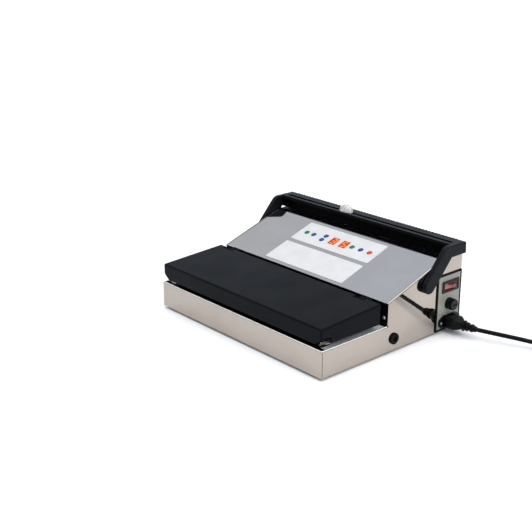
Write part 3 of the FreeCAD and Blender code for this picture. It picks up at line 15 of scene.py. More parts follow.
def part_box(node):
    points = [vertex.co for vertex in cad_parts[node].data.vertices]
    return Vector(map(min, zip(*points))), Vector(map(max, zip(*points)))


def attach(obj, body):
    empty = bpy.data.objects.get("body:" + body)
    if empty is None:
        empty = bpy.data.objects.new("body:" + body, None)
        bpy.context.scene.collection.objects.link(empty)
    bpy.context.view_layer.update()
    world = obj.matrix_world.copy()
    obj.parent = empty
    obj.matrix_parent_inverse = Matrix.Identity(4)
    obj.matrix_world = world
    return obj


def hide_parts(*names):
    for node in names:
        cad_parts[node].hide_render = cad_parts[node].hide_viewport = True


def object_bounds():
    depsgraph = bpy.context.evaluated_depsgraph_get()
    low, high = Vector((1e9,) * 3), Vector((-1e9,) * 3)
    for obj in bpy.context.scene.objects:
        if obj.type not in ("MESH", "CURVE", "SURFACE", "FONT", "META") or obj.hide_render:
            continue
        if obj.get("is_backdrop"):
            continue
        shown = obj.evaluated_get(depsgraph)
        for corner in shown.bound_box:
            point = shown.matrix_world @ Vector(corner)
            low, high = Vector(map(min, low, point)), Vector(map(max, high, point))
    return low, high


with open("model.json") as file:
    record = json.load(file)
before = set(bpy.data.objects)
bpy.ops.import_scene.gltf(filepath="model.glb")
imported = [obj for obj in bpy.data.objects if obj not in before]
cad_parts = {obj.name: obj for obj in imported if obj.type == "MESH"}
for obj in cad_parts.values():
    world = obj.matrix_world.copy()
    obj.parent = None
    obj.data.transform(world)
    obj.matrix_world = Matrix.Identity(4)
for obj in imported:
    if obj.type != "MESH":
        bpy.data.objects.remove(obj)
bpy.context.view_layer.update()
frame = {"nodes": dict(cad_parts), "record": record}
nodes = frame["nodes"]


def new_object(name, data):
    """Makes an object and links it into the scene."""
    made = bpy.data.objects.new(name, data)
    bpy.context.scene.collection.objects.link(made)
    return made


# %% [markdown]
# The camera stands where the photograph was taken from: to the right of the front, a little above.
# Its place and lens were solved from the body's straight edges, and three turns set its direction, roll included.

# %% Camera
MM = 0.001
CAMERA_AZIMUTH = radians(48.780)
CAMERA_ELEVATION = radians(19.581)
CAMERA_ROLL = radians(-0.179)
CAMERA_PLACE = Vector((1.0815, -1.0381, 0.6209))
CAMERA_LENS = 66.21
SENSOR_WIDTH = 36.0
CLIP_END = 100.0

turn = (Matrix.Rotation(CAMERA_AZIMUTH, 4, "Z") @ Matrix.Rotation(pi / 2 - CAMERA_ELEVATION, 4, "X")
        @ Matrix.Rotation(CAMERA_ROLL, 4, "Z"))
camera_data = bpy.data.cameras.new("photo_camera")
camera_data.lens = CAMERA_LENS
camera_data.sensor_width = SENSOR_WIDTH
camera_data.clip_end = CLIP_END
camera = new_object("photo_camera", camera_data)
camera.matrix_world = Matrix.Translation(CAMERA_PLACE) @ turn
bpy.context.scene.camera = camera
print("camera at", tuple(round(v, 3) for v in CAMERA_PLACE))

# %% [markdown]
# A piece keeps its object at the origin and its place in its mesh, so a pattern in Object coordinates lies on it as
# on a solid. Corners sharper than 35 degrees stay sharp, the rest is shaded smooth. Most pieces are skins over rings.

# %% Helpers for pieces
CREASE = radians(35.0)
SOFT_CREASE = radians(60.0)
SAME_PLACE = 1e-7
finishes = {}


def shade(mesh, angle=CREASE):
    """Smooth shading, with edges sharper than the angle kept sharp."""
    mesh.shade_smooth()
    edit = bmesh.new()
    edit.from_mesh(mesh)
    for edge in edit.edges:
        edge.smooth = len(edge.link_faces) == 2 and edge.calc_face_angle(0.0) < angle
    edit.to_mesh(mesh)
    edit.free()
    return mesh


def place_piece(name, mesh, finish, body, slot, *stands_for):
    """Links a mesh as a piece that rides on a body and may stand for solids. A finish is given by its name."""
    if finish is not None:
        mesh.materials.clear()
        mesh.materials.append(finishes[finish])
    piece = new_object(name, mesh)
    if stands_for:
        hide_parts(*stands_for)
    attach(piece, body)
    print(name, len(mesh.polygons), "faces on", body)
    return piece


def mesh_of(edit, name, angle=CREASE):
    """Turns a bmesh into a shaded mesh with its faces outwards."""
    bmesh.ops.remove_doubles(edit, verts=edit.verts, dist=SAME_PLACE)
    bmesh.ops.recalc_face_normals(edit, faces=edit.faces)
    mesh = bpy.data.meshes.new(name)
    edit.to_mesh(mesh)
    edit.free()
    return shade(mesh, angle)


def skin(edit, rings, closed_path=False, caps=True):
    """Joins rings of equally many points with quads, and caps the ends of an open path."""
    rows = [[edit.verts.new(p) for p in ring] for ring in rings]
    pairs = list(zip(rows, rows[1:]))
    if closed_path:
        pairs.append((rows[-1], rows[0]))
    for first, second in pairs:
        for i in range(len(first)):
            j = (i + 1) % len(first)
            edit.faces.new((first[i], first[j], second[j], second[i]))
    if caps and not closed_path:
        edit.faces.new(rows[0][::-1])
        edit.faces.new(rows[-1])
    return rows


def place_rings(name, ring_sets, finish, body, slot, *stands_for, closed_path=False, angle=CREASE):
    """Skins one or more sets of rings, and places them as one piece."""
    edit = bmesh.new()
    for rings in ring_sets:
        skin(edit, rings, closed_path)
    return place_piece(name, mesh_of(edit, name, angle), finish, body, slot, *stands_for)


def around(count):
    """Equal angles round a circle."""
    return [2 * pi * k / count for k in range(count)]


def rounded_ring(width, height, corner, steps=5):
    """Points round a rounded rectangle that is centred on the origin."""
    points = []
    for cx, cy, start in ((1, 1, 0), (-1, 1, 90), (-1, -1, 180), (1, -1, 270)):
        for k in range(steps + 1):
            a = radians(start + 90.0 * k / steps)
            x = cx * (width / 2 - corner) + corner * cos(a)
            y = cy * (height / 2 - corner) + corner * sin(a)
            points.append((x, y))
    return points


print("piece helpers ready")

# %% [markdown]
# Every finish is a Principled shader, kept by name. Three small functions add what a real surface shows: uneven tone,
# uneven gloss and fine relief. What is the same all over is set on the socket itself.

# %% Helpers for finishes
MIDDLE_LOW, MIDDLE_HIGH = 0.35, 0.65
PATTERN_DETAIL = 3.0
EVEN = (1.0, 1.0, 1.0)


def wire(tree, kind, inputs=None, **settings):
    """Adds a node to any node tree, sets its properties, and links or fills its inputs."""
    node = tree.nodes.new(kind)
    for label, value in settings.items():
        setattr(node, label, value)
    for label, source in (inputs or {}).items():
        if isinstance(source, bpy.types.NodeSocket):
            tree.links.new(source, node.inputs[label])
        else:
            node.inputs[label].default_value = source
    return node


def shader_of(finish):
    return finish.node_tree.nodes["Principled BSDF"]


def feed(finish, source, label):
    """Links a socket to an input of the finish's shader."""
    finish.node_tree.links.new(source, shader_of(finish).inputs[label])


def object_place(finish):
    """The place in Object coordinates, in metres."""
    return wire(finish.node_tree, "ShaderNodeTexCoord").outputs["Object"]


def object_axis(finish, axis):
    """One axis of Object coordinates."""
    return wire(finish.node_tree, "ShaderNodeSeparateXYZ", {"Vector": object_place(finish)}).outputs[axis]


def pattern(finish, scale, detail=PATTERN_DETAIL, stretch=EVEN):
    """A noise in Object coordinates. Returns its factor socket."""
    tree = finish.node_tree
    fit = wire(tree, "ShaderNodeMapping", {"Vector": object_place(finish), "Scale": stretch})
    noise = {"Vector": fit.outputs["Vector"], "Scale": scale, "Detail": detail}
    return wire(tree, "ShaderNodeTexNoise", noise).outputs["Fac"]


def spread(finish, source, low, high, start=MIDDLE_LOW, end=MIDDLE_HIGH):
    """Maps a pattern's middle range onto low to high."""
    return wire(finish.node_tree, "ShaderNodeMapRange", {
        "Value": source, "From Min": start, "From Max": end, "To Min": low, "To Max": high,
    }).outputs["Result"]


def add_tone(finish, source, dark, light):
    """Colour that drifts between two tones."""
    ramp = wire(finish.node_tree, "ShaderNodeValToRGB", {"Fac": source})
    for element, place, colour in zip(ramp.color_ramp.elements, (MIDDLE_LOW, MIDDLE_HIGH), (dark, light)):
        element.position = place
        element.color = (*colour, 1.0)
    feed(finish, ramp.outputs["Color"], "Base Color")


def add_gloss(finish, source, low, high):
    """Roughness that drifts, as handling and polishing leave it."""
    feed(finish, spread(finish, source, low, high), "Roughness")


def add_relief(finish, source, height, strength):
    """Fine relief of a real height in metres, over what relief there is."""
    below = shader_of(finish).inputs["Normal"].links
    bump = wire(finish.node_tree, "ShaderNodeBump", {"Height": source, "Distance": height, "Strength": strength})
    if below:
        finish.node_tree.links.new(below[0].from_socket, bump.inputs["Normal"])
    feed(finish, bump.outputs["Normal"], "Normal")


def new_finish(name, tone=None, gloss=None, relief=None, specular=0.5, **plain):
    """A Principled material. Tone, gloss and relief each give the scale of a pattern, the two values that their
    function takes, and where they aren't the usual ones the pattern's detail and stretch."""
    finish = finishes[name] = bpy.data.materials.new(name)
    finish.use_nodes = True
    for label, value in {"Specular_IOR_Level": specular, **plain}.items():
        shader_of(finish).inputs[label.replace("_", " ")].default_value = value
    for add, values in ((add_tone, tone), (add_gloss, gloss), (add_relief, relief)):
        if values:
            scale, first, second, *grain = values
            add(finish, pattern(finish, scale, *grain), first, second)
    return finish


print("finish helpers ready")

# %% [markdown]
# Some pieces carry painted shade in their finish: the deck is painted near-black on its riser and under the lid's
# front, and the bar is painted darker on its front face and in its slot. The border is a plane in Object
# coordinates, so the painted shade stays on the piece when the piece moves.

# %% Painted shade
SHADE_MIX_BARE, SHADE_MIX_DARK, SHADE_MIX_RESULT = 6, 7, 2


def join_masks(tree, operation, first, second):
    """Joins two masks, the first of which may still be missing."""
    if first is None:
        return second
    return wire(tree, "ShaderNodeMath", {0: first, 1: second}, operation=operation).outputs["Value"]


def add_painted_shade(finish, areas, colour, specular):
    """Paints shade into boxes of Object space, each given as low and high corners in metres."""
    tree = finish.node_tree
    shader = shader_of(finish)
    where = object_place(finish)
    shade_mask = None
    for low, high in areas:
        middle = [(a + b) / 2 for a, b in zip(low, high)]
        half = [(b - a) / 2 for a, b in zip(low, high)]
        fit = wire(tree, "ShaderNodeMapping", {
            "Vector": where, "Location": [-m / h for m, h in zip(middle, half)], "Scale": [1.0 / h for h in half],
        })
        size = wire(tree, "ShaderNodeVectorMath", {0: fit.outputs["Vector"]}, operation="ABSOLUTE")
        axes = wire(tree, "ShaderNodeSeparateXYZ", {"Vector": size.outputs["Vector"]})
        inside = None
        for axis in ("X", "Y", "Z"):
            below = wire(tree, "ShaderNodeMath", {0: axes.outputs[axis], 1: 1.0}, operation="LESS_THAN")
            inside = join_masks(tree, "MULTIPLY", inside, below.outputs["Value"])
        shade_mask = join_masks(tree, "MAXIMUM", shade_mask, inside)
    bare_colour = shader.inputs["Base Color"].links[0].from_socket
    shade_mix = wire(tree, "ShaderNodeMix", {
        "Factor": shade_mask, SHADE_MIX_BARE: bare_colour, SHADE_MIX_DARK: (*colour, 1.0),
    }, data_type="RGBA")
    feed(finish, shade_mix.outputs[SHADE_MIX_RESULT], "Base Color")
    for label, painted in (("Metallic", 0.0), ("Specular IOR Level", specular)):
        feed(finish, spread(finish, shade_mask, shader.inputs[label].default_value, painted, 0.0, 1.0), label)


print("paint helper ready")

# %% [markdown]
# The body is bright-rolled stainless sheet. It mirrors what stands round it, so its look comes from a warm tone, a
# slow waviness that bends reflections, cloudy marks in the gloss, and fine rolling lines that stretch a highlight.

# %% Steel finishes
ROLLED = (0.03, 1.0, 1.0)
SATIN_RELIEF = (300, 0.00002, 0.2, PATTERN_DETAIL, (0.05, 1.0, 1.0))
# Boxes of the deck that get near-black painted shade: its riser behind the lid and its front under the lid.
RISER_PAINTED_SHADE = ((-0.2, -0.0168, 0.0440), (0.2, 0.0, 0.2))
FRONT_PAINTED_SHADE = ((-0.2, -0.2, 0.0), (0.2, -0.1405, 0.0440))
UNDER_LID_PAINTED_SHADE = ((-0.175, -0.2, 0.0), (0.175, -0.122, 0.0440))


def bright_sheet(name, dark, light, gloss, wave):
    """Mirror-bright sheet: two tones, a range of roughness, and the height of its waviness in metres."""
    finish = new_finish(name, (14, dark, light), (26, *gloss, 5.0), Metallic=1.0)
    add_relief(finish, pattern(finish, 420, 2.0, ROLLED), 0.00001, 0.05)
    add_relief(finish, pattern(finish, 7, 1.0), wave, 0.5)


bright_sheet("polished_steel", (0.405, 0.358, 0.318), (0.44, 0.392, 0.350), (0.015, 0.035), 0.0004)
bright_sheet("panel_steel", (0.60, 0.60, 0.61), (0.64, 0.64, 0.65), (0.05, 0.10), 0.0003)
new_finish("satin_steel", (300, (0.55, 0.56, 0.58), (0.61, 0.62, 0.64), PATTERN_DETAIL, ROLLED), (30, 0.38, 0.48),
           SATIN_RELIEF, Metallic=0.9)
# The deck is a paler, less metallic copy of satin steel. This paints light on the lit strip beside the lid.
new_finish("deck_painted_light_and_shade", (300, (0.77, 0.79, 0.82), (0.83, 0.85, 0.88), PATTERN_DETAIL, ROLLED), (30, 0.42, 0.58),
           SATIN_RELIEF, Metallic=0.35)
# Near-black painted shade goes on the deck's riser and on its front under the lid.
add_painted_shade(finishes["deck_painted_light_and_shade"], (RISER_PAINTED_SHADE, FRONT_PAINTED_SHADE, UNDER_LID_PAINTED_SHADE), (0.002, 0.002, 0.0022), 0.03)
# A pale, mostly diffuse copy of the steel. On the rolled wall edge it paints a highlight line, and the heater clips
# wear it too.
new_finish("edge_steel_painted_highlight", (60, (0.76, 0.74, 0.71), (0.84, 0.82, 0.79)), (90, 0.28, 0.42), Metallic=0.3)
new_finish("spring_steel", (90, (0.66, 0.64, 0.60), (0.76, 0.75, 0.72)), (120, 0.24, 0.38), Metallic=0.8)
new_finish("zinc_plate", (160, (0.50, 0.51, 0.53), (0.64, 0.65, 0.66), 5.0), (90, 0.28, 0.42), Metallic=1.0)
new_finish("screw_steel", (300, (0.42, 0.40, 0.37), (0.54, 0.52, 0.49)), (400, 0.18, 0.34), Metallic=1.0)
print("steel finishes:", len(finishes))

# %% [markdown]
# Lid and handle are black mouldings with a fine spark-eroded grain. The grain is real relief, a few hundredths of
# a millimetre high, and hands leave it glossier in patches.

# %% Black mouldings
# The bar's front face and the walls of its slot, which get darker painted shade.
BAR_FRONT_PAINTED_SHADE = ((-0.1905, 0.10, 0.10), (0.1905, 0.1370, 0.1458))

new_finish("lid_black", (22, (0.0018, 0.0024, 0.0036), (0.0034, 0.0042, 0.006), 4.0), (16, 0.32, 0.40, 4.0),
           (1500, 0.00006, 0.25, 2.0), specular=0.052)
for handle_finish in ("handle_black", "bar_black_front_shade"):
    new_finish(handle_finish, (30, (0.0038, 0.0045, 0.006), (0.0062, 0.0072, 0.0095), 4.0),
               (25.0, 0.28, 0.40, 4.0), (1300, 0.00006, 0.3, 2.0), specular=0.08)
# The bar's front face and slot walls are painted darker than its top, as painted shade: they face away from the
# light.
add_painted_shade(finishes["bar_black_front_shade"], (BAR_FRONT_PAINTED_SHADE,), (0.0012, 0.0012, 0.0014), 0.012)
new_finish("black_moulding", (50, (0.0022, 0.0023, 0.003), (0.0045, 0.0046, 0.0054)), (60, 0.42, 0.58),
           (1100, 0.00008, 0.3), specular=0.07)
new_finish("black_gloss", (70, (0.0014, 0.0014, 0.0018), (0.003, 0.003, 0.0035)), (90, 0.15, 0.28),
           (500, 0.00003, 0.15), specular=0.18)
new_finish("rubber_black", (80, (0.0022, 0.0022, 0.0026), (0.0045, 0.0045, 0.005)), (130, 0.5, 0.72),
           (900, 0.0001, 0.35), specular=0.07)
# The hinge brackets are black, and are made darker and duller still as painted shade for the notches they sit in.
new_finish("bracket_black", (120, (0.0015, 0.0015, 0.0017), (0.003, 0.003, 0.0033)), None, (700, 0.0001, 0.3),
           Roughness=0.6, specular=0.03)
print("finishes so far:", len(finishes))

# %% [markdown]
# The rest are small parts: white label film, coloured keys, red displays, a clear knob, painted plate, foam,
# silicone, boards, cast aluminium, glass and brass. Each gets the grain that its process leaves. The rocker glows
# red as a lit switch, and its glow is graded as painted light and shade: bright at its front end and foot, fading
# towards the rear and towards the top.

# %% Small finishes
KEY_COLOURS = {"key_green": (0.008, 0.17, 0.055), "key_blue": (0.018, 0.055, 0.24), "key_red": (0.78, 0.022, 0.010)}
KEY_DARKER = 0.85
PAINTED_LIGHT_FRONT, PAINTED_LIGHT_REAR, PAINTED_LIGHT_LOW, PAINTED_LIGHT_HIGH = 0.1135, 0.1300, 0.0755, 0.0815

new_finish("label_white", (40, (0.56, 0.56, 0.56), (0.60, 0.60, 0.60)), None, (1800, 0.00004, 0.2),
           Roughness=0.34, specular=0.2)
for key_finish, key_colour in KEY_COLOURS.items():
    new_finish(key_finish, (260, tuple(KEY_DARKER * c for c in key_colour), key_colour), None,
               (2200, 0.00004, 0.3), Roughness=0.3, specular=0.2)
rocker_red = new_finish("rocker_red", (70, (0.06, 0.005, 0.004), (0.09, 0.008, 0.006)), Roughness=0.1,
                        Coat_Weight=0.8, Coat_Roughness=0.04, Emission_Color=(1.0, 0.04, 0.02, 1.0))
# The rocker's glow is graded as painted light and shade: strong at the front end and bottom, faint at the rear and
# top.
glow_with_painted_light = join_masks(rocker_red.node_tree, "MULTIPLY",
                       spread(rocker_red, object_axis(rocker_red, "Y"), 0.46, 0.012, PAINTED_LIGHT_FRONT, PAINTED_LIGHT_REAR),
                       spread(rocker_red, object_axis(rocker_red, "Z"), 1.0, 0.12, PAINTED_LIGHT_LOW, PAINTED_LIGHT_HIGH))
feed(rocker_red, glow_with_painted_light, "Emission Strength")
new_finish("rocker_mark", (90, (0.15, 0.125, 0.12), (0.18, 0.155, 0.15)), Roughness=0.42)
new_finish("display_red", (120, (0.29, 0.006, 0.003), (0.38, 0.010, 0.005)), Roughness=0.22,
           specular=0.15, Emission_Color=(1.0, 0.03, 0.008, 1.0), Emission_Strength=0.30)
new_finish("lit_segment", (500, (0.55, 0.11, 0.008), (0.65, 0.17, 0.012)), Roughness=0.4,
           specular=0.1, Emission_Color=(1.0, 0.36, 0.03, 1.0), Emission_Strength=0.85)
new_finish("knob_clear", (120, (0.78, 0.76, 0.72), (0.88, 0.86, 0.82)), (200, 0.27, 0.34),
           Transmission_Weight=0.5, IOR=1.49, Coat_Weight=1.0, Coat_Roughness=0.03)
new_finish("nylon_white", (90, (0.70, 0.69, 0.66), (0.77, 0.76, 0.73)), Roughness=0.42)
new_finish("plate_grey", (35, (0.225, 0.235, 0.192), (0.265, 0.275, 0.232)), None, (700, 0.00005, 0.25),
           Roughness=0.3, specular=0.3)
new_finish("foam_black", (900, (0.008, 0.008, 0.009), (0.026, 0.026, 0.028), 4.0), None,
           (1400, 0.0003, 0.7, 4.0), Roughness=0.9, specular=0.1)
new_finish("silicone_red", (60, (0.06, 0.011, 0.008), (0.09, 0.017, 0.012)), None, (800, 0.00005, 0.3),
           Roughness=0.5, specular=0.2)
new_finish("silicone_grey", (80, (0.46, 0.46, 0.44), (0.54, 0.54, 0.52)), Roughness=0.45)
new_finish("heater_strip", (120, (0.36, 0.33, 0.30), (0.48, 0.46, 0.44), PATTERN_DETAIL, (0.2, 1.0, 1.0)),
           Roughness=0.38, Metallic=1.0)
new_finish("core_iron", (900, (0.11, 0.10, 0.09), (0.21, 0.20, 0.19), PATTERN_DETAIL, (0.02, 0.02, 1.0)),
           Roughness=0.5, Metallic=0.6)
new_finish("pump_aluminium", None, (60, 0.42, 0.6), (450, 0.0002, 0.5, 5.0), Metallic=1.0,
           Base_Color=(0.58, 0.58, 0.59, 1.0))
new_finish("board_green", (260, (0.015, 0.11, 0.045), (0.03, 0.18, 0.08), 5.0), Roughness=0.28)
new_finish("fuse_glass", None, (200, 0.03, 0.08), Transmission_Weight=0.9, IOR=1.5,
           Base_Color=(0.9, 0.93, 0.93, 1.0))
new_finish("plug_brass", (220, (0.64, 0.49, 0.24), (0.76, 0.60, 0.31)), (300, 0.18, 0.32), Metallic=1.0)
print("finishes so far:", len(finishes))

# %% [markdown]
# Coated cloth over the heating strip is a fine plain weave in brown resin. Two wave patterns at right angles make
# its threads, half a millimetre apart. The lead's strap is a coarser weave, and the lead itself is smooth.

# %% Woven finishes
THREAD = 0.0005
WAVES_PER_THREAD = 0.314


def add_weave(finish, thread, height):
    """Two crossing sets of threads as relief, in Object coordinates."""
    where = object_place(finish)
    cross = None
    for axis in ("X", "Y"):
        wave = wire(finish.node_tree, "ShaderNodeTexWave", {"Vector": where, "Scale": WAVES_PER_THREAD / thread},
                    bands_direction=axis)
        cross = join_masks(finish.node_tree, "MULTIPLY", cross, wave.outputs["Fac"])
    add_relief(finish, cross, height, 0.5)


new_finish("ptfe_cloth", (45, (0.145, 0.09, 0.042), (0.195, 0.122, 0.06)), Roughness=0.34)
add_weave(finishes["ptfe_cloth"], THREAD, 0.00006)
new_finish("tie_black", (300, (0.014, 0.014, 0.015), (0.028, 0.028, 0.03)), Roughness=0.8)
add_weave(finishes["tie_black"], 2 * THREAD, 0.0002)
new_finish("cord_black", (90, (0.0014, 0.0015, 0.002), (0.003, 0.0031, 0.0036)), (140, 0.26, 0.38),
           (1600, 0.00005, 0.25), specular=0.1)
print("finishes in all:", len(finishes))

# %% [markdown]
# The mains lead leaves the right side, falls to the table and winds into a tied coil, as one smooth NURBS spline. The
# coil winds in on the table, climbs one layer where it turns back, and winds out again on top. A quadratic spline
# cuts inside its points, so the turns' points stand a little further out.

# %% Mains lead
CORD_RADIUS = 3.5 * MM
ROUTE = [
    (243.0, 131.8, 16.0), (283.0, 148.0, 14.3), (325.0, 166.2, 11.6), (361.0, 181.4, 6.6), (388.0, 193.6, 4.7),
    (445.6, 219.2, 4.7),
]
COIL_PITCH = 7.8
COIL_INNER = 28.0
COIL_TURNS = 3.1
COIL_HEADING = radians(24.0)
COIL_LEAD_IN = 7.0
COIL_TAIL = 16.0
POINTS_PER_TURN = 20
FULL_TURN = 2 * pi
coil_outer = COIL_INNER + COIL_PITCH * COIL_TURNS
coil_start = Vector(ROUTE[-1])
coil_forward = Vector((cos(COIL_HEADING), sin(COIL_HEADING), 0.0))
coil_left = Vector((-coil_forward.y, coil_forward.x, 0.0))
coil_centre = coil_start + coil_forward * COIL_LEAD_IN + coil_left * coil_outer
first_angle = COIL_HEADING - pi / 2
half_sweep = FULL_TURN * COIL_TURNS
stand_out = 1.0 / (0.75 + 0.25 * cos(FULL_TURN / POINTS_PER_TURN))


def coil_place(sweep, out=1.0):
    """A point of the coil's centre line, in millimetres, at an angle counted from its start."""
    past = sweep - half_sweep
    radius = (COIL_INNER + COIL_PITCH * abs(past) / FULL_TURN) * out
    climb = min(max((past + pi / 2) / pi, 0.0), 1.0)
    angle = first_angle + sweep
    flat = Vector((cos(angle), sin(angle), 0.0)) * radius
    return Vector((coil_centre.x, coil_centre.y, coil_start.z + COIL_PITCH * climb)) + flat


def nurbs_tube(name, points, radius, finish, sides, steps):
    """A round tube along a smooth spline through points in millimetres."""
    curve = bpy.data.curves.new(name, "CURVE")
    curve.dimensions = "3D"
    curve.bevel_depth = radius
    curve.bevel_resolution = sides
    curve.resolution_u = steps
    curve.use_fill_caps = True
    spline = curve.splines.new("NURBS")
    spline.points.add(len(points) - 1)
    for point, place in zip(spline.points, points):
        point.co = (*(Vector(place) * MM), 1.0)
    spline.order_u = 3
    spline.use_endpoint_u = True
    curve.materials.append(finishes[finish])
    return new_object(name, curve)


coil_points = round(2 * half_sweep / FULL_TURN * POINTS_PER_TURN)
last_angle = first_angle + 2 * half_sweep
tail_along = Vector((-sin(last_angle), cos(last_angle), 0.0))
coil_last = coil_place(2 * half_sweep)
tail_end = coil_last + tail_along * COIL_TAIL
cord_points = [Vector(p) for p in ROUTE]
cord_points += [coil_place(2 * half_sweep * k / coil_points, stand_out) for k in range(1, coil_points)]
cord_points += [coil_last, tail_end]
cord = nurbs_tube("mains_lead", cord_points, CORD_RADIUS, "cord_black", sides=5, steps=4)
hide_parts("power_cord", "cord_coil")
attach(cord, "housing")
print("lead points:", len(cord_points), "coil centre", tuple(round(v, 1) for v in coil_centre))

# %% [markdown]
# The connector is a soft moulded grip that narrows to a neck, a collar and a strain relief with two swellings.
# Sections are drawn across its line and skinned, so each step is real. Small ridges stand on both sides of the grip.

# %% Connector
INLET_FACE = Vector((193.7, 126.5, 18.0))
GRIP_LENGTH = 28.3
GRIP_END = INLET_FACE + Vector((GRIP_LENGTH, 0.0, 0.0))
RELIEF_END = Vector(ROUTE[0])
GRIP_STEPS = (
    (0.05, 26.2, 18.2, 4.0), (0.7, 27.0, 19.0, 4.0), (9.0, 26.6, 18.8, 4.5), (15.0, 26.8, 18.9, 4.5),
    (17.5, 25.8, 18.4, 5.0), (20.5, 22.0, 17.2, 5.5), (24.0, 17.2, 15.4, 6.0), (27.2, 14.2, 13.8, 6.6),
)
NECK_STEPS = (
    (0.0, 7.2), (0.05, 8.4), (0.5, 8.8), (2.5, 8.8), (3.0, 8.4), (3.05, 5.5), (4.8, 5.5), (5.1, 6.6), (5.9, 7.2),
    (8.3, 7.2), (9.1, 6.6), (9.3, 5.3), (11.8, 5.1), (12.1, 5.9), (12.9, 6.4), (16.3, 6.4), (17.1, 5.9),
    (17.3, 4.9), (20.8, 4.7), (21.7, 4.2),
)
RIDGE_COUNT, RIDGE_FIRST, RIDGE_PITCH, RIDGE_SIDE, RIDGE_CORNER = 5, 4.0, 2.1, 13.2, 0.28
RIDGE_STEPS = ((-0.5, 11.0, 1.1), (0.1, 11.0, 1.1), (0.35, 10.2, 0.6))
NEARLY_ROUND = 0.98


def sections(start, along, steps):
    """Rounded rectangles across a line, in metres, for each distance, width, height and corner in millimetres."""
    along = along.normalized()
    side = Vector((0.0, 0.0, 1.0)).cross(along).normalized()
    top = along.cross(side)
    return [[(start + along * far + side * x + top * y) * MM for x, y in rounded_ring(width, height, corner)]
            for far, width, height, corner in steps]


def round_sections(start, along, steps):
    """Round sections at (distance, radius) along a line."""
    return sections(start, along, [(far, 2 * r, 2 * r, NEARLY_ROUND * r) for far, r in steps])


connector_rings = [sections(INLET_FACE, Vector((1.0, 0.0, 0.0)), GRIP_STEPS)
                   + round_sections(GRIP_END, RELIEF_END - GRIP_END, NECK_STEPS)]
for number in range(RIDGE_COUNT):
    for side in (-1, 1):
        middle = INLET_FACE + Vector((RIDGE_FIRST + RIDGE_PITCH * number, side * RIDGE_SIDE, 0.0))
        connector_rings.append([
            [(middle + Vector((x, side * out, y))) * MM for x, y in rounded_ring(width, length, RIDGE_CORNER, 3)]
            for out, length, width in RIDGE_STEPS
        ])
connector = place_rings("lead_connector", connector_rings, "cord_black", "housing", "cord_black", "cord_connector")

# %% [markdown]
# The plug is made alike, with square grooves in its strain relief and three brass contacts. A strap holds the coil.
# Its loop is as wide as the turns that it goes round.

# %% Plug and tie
PLUG_RELIEF, PLUG_LENGTH, PLUG_WIDTH = 30.0, 38.0, 26.0
PLUG_CLEAR, PLUG_GAP = 0.4, 0.2
RELIEF_WIDE, RELIEF_NARROW, RELIEF_GROOVES, GROOVE_DEPTH = 7.0, 4.5, 5, 0.84
GROOVES_FROM, GROOVES_RUN = 0.30, 0.62
BLADE_OFFSET, EARTH_RISE = 6.35, 5.5
BLADE_STEPS = ((-1.0, 1.6, 6.3, 0.3), (14.6, 1.6, 6.3, 0.3), (16, 0.8, 4.6, 0.3))
EARTH_STEPS = ((-1.0, 4.8, 4.8, 2.35), (15.6, 4.8, 4.8, 2.35), (17.4, 3.2, 3.2, 1.55), (18.0, 1.2, 1.2, 0.55))
plug_back = tail_end + tail_along * PLUG_RELIEF
plug_face = plug_back + tail_along * PLUG_LENGTH
plug_side = Vector((-tail_along.y, tail_along.x, 0.0))
plug_thick = 2 * tail_end.z - PLUG_CLEAR
relief_start = plug_back - tail_along * PLUG_GAP
relief_run = tail_end - relief_start
groove_shares = [GROOVES_FROM + GROOVES_RUN * (k + d) / RELIEF_GROOVES
                 for k in range(RELIEF_GROOVES) for d in (0.0, 0.04, 0.5, 0.54)]
groove_depths = [1.0, *[1.0, GROOVE_DEPTH, GROOVE_DEPTH, 1.0] * RELIEF_GROOVES, 1.0]
relief_rings = round_sections(relief_start, relief_run, [
    (relief_run.length * share, (RELIEF_WIDE + (RELIEF_NARROW - RELIEF_WIDE) * share) * depth)
    for share, depth in zip([0.0, *groove_shares, 1.0], groove_depths)
])
plug_rings = relief_rings[::-1] + sections(plug_back, tail_along, (
    (PLUG_GAP, 16.0, 15.0, 6.0), (2.5, 22.0, 20.5, 6.5), (8.0, PLUG_WIDTH - 1.0, plug_thick - 0.6, 6.0),
    (16.0, PLUG_WIDTH - 2.0, plug_thick - 1.2, 6.0), (28.0, PLUG_WIDTH - 0.2, plug_thick, 5.0),
    (PLUG_LENGTH - 0.8, PLUG_WIDTH - 0.2, plug_thick, 5.0), (PLUG_LENGTH, PLUG_WIDTH - 1.8, plug_thick - 1.6, 4.4),
))
plug = place_rings("lead_plug", [plug_rings], "cord_black", "housing", "cord_black", "mains_plug")
contacts = [sections(plug_face + plug_side * offset, tail_along, BLADE_STEPS)
            for offset in (-BLADE_OFFSET, BLADE_OFFSET)]
contacts.append(sections(plug_face + Vector((0.0, 0.0, EARTH_RISE)), tail_along, EARTH_STEPS))
blades = place_rings("plug_blades", contacts, "plug_brass", "housing", "cord_black")

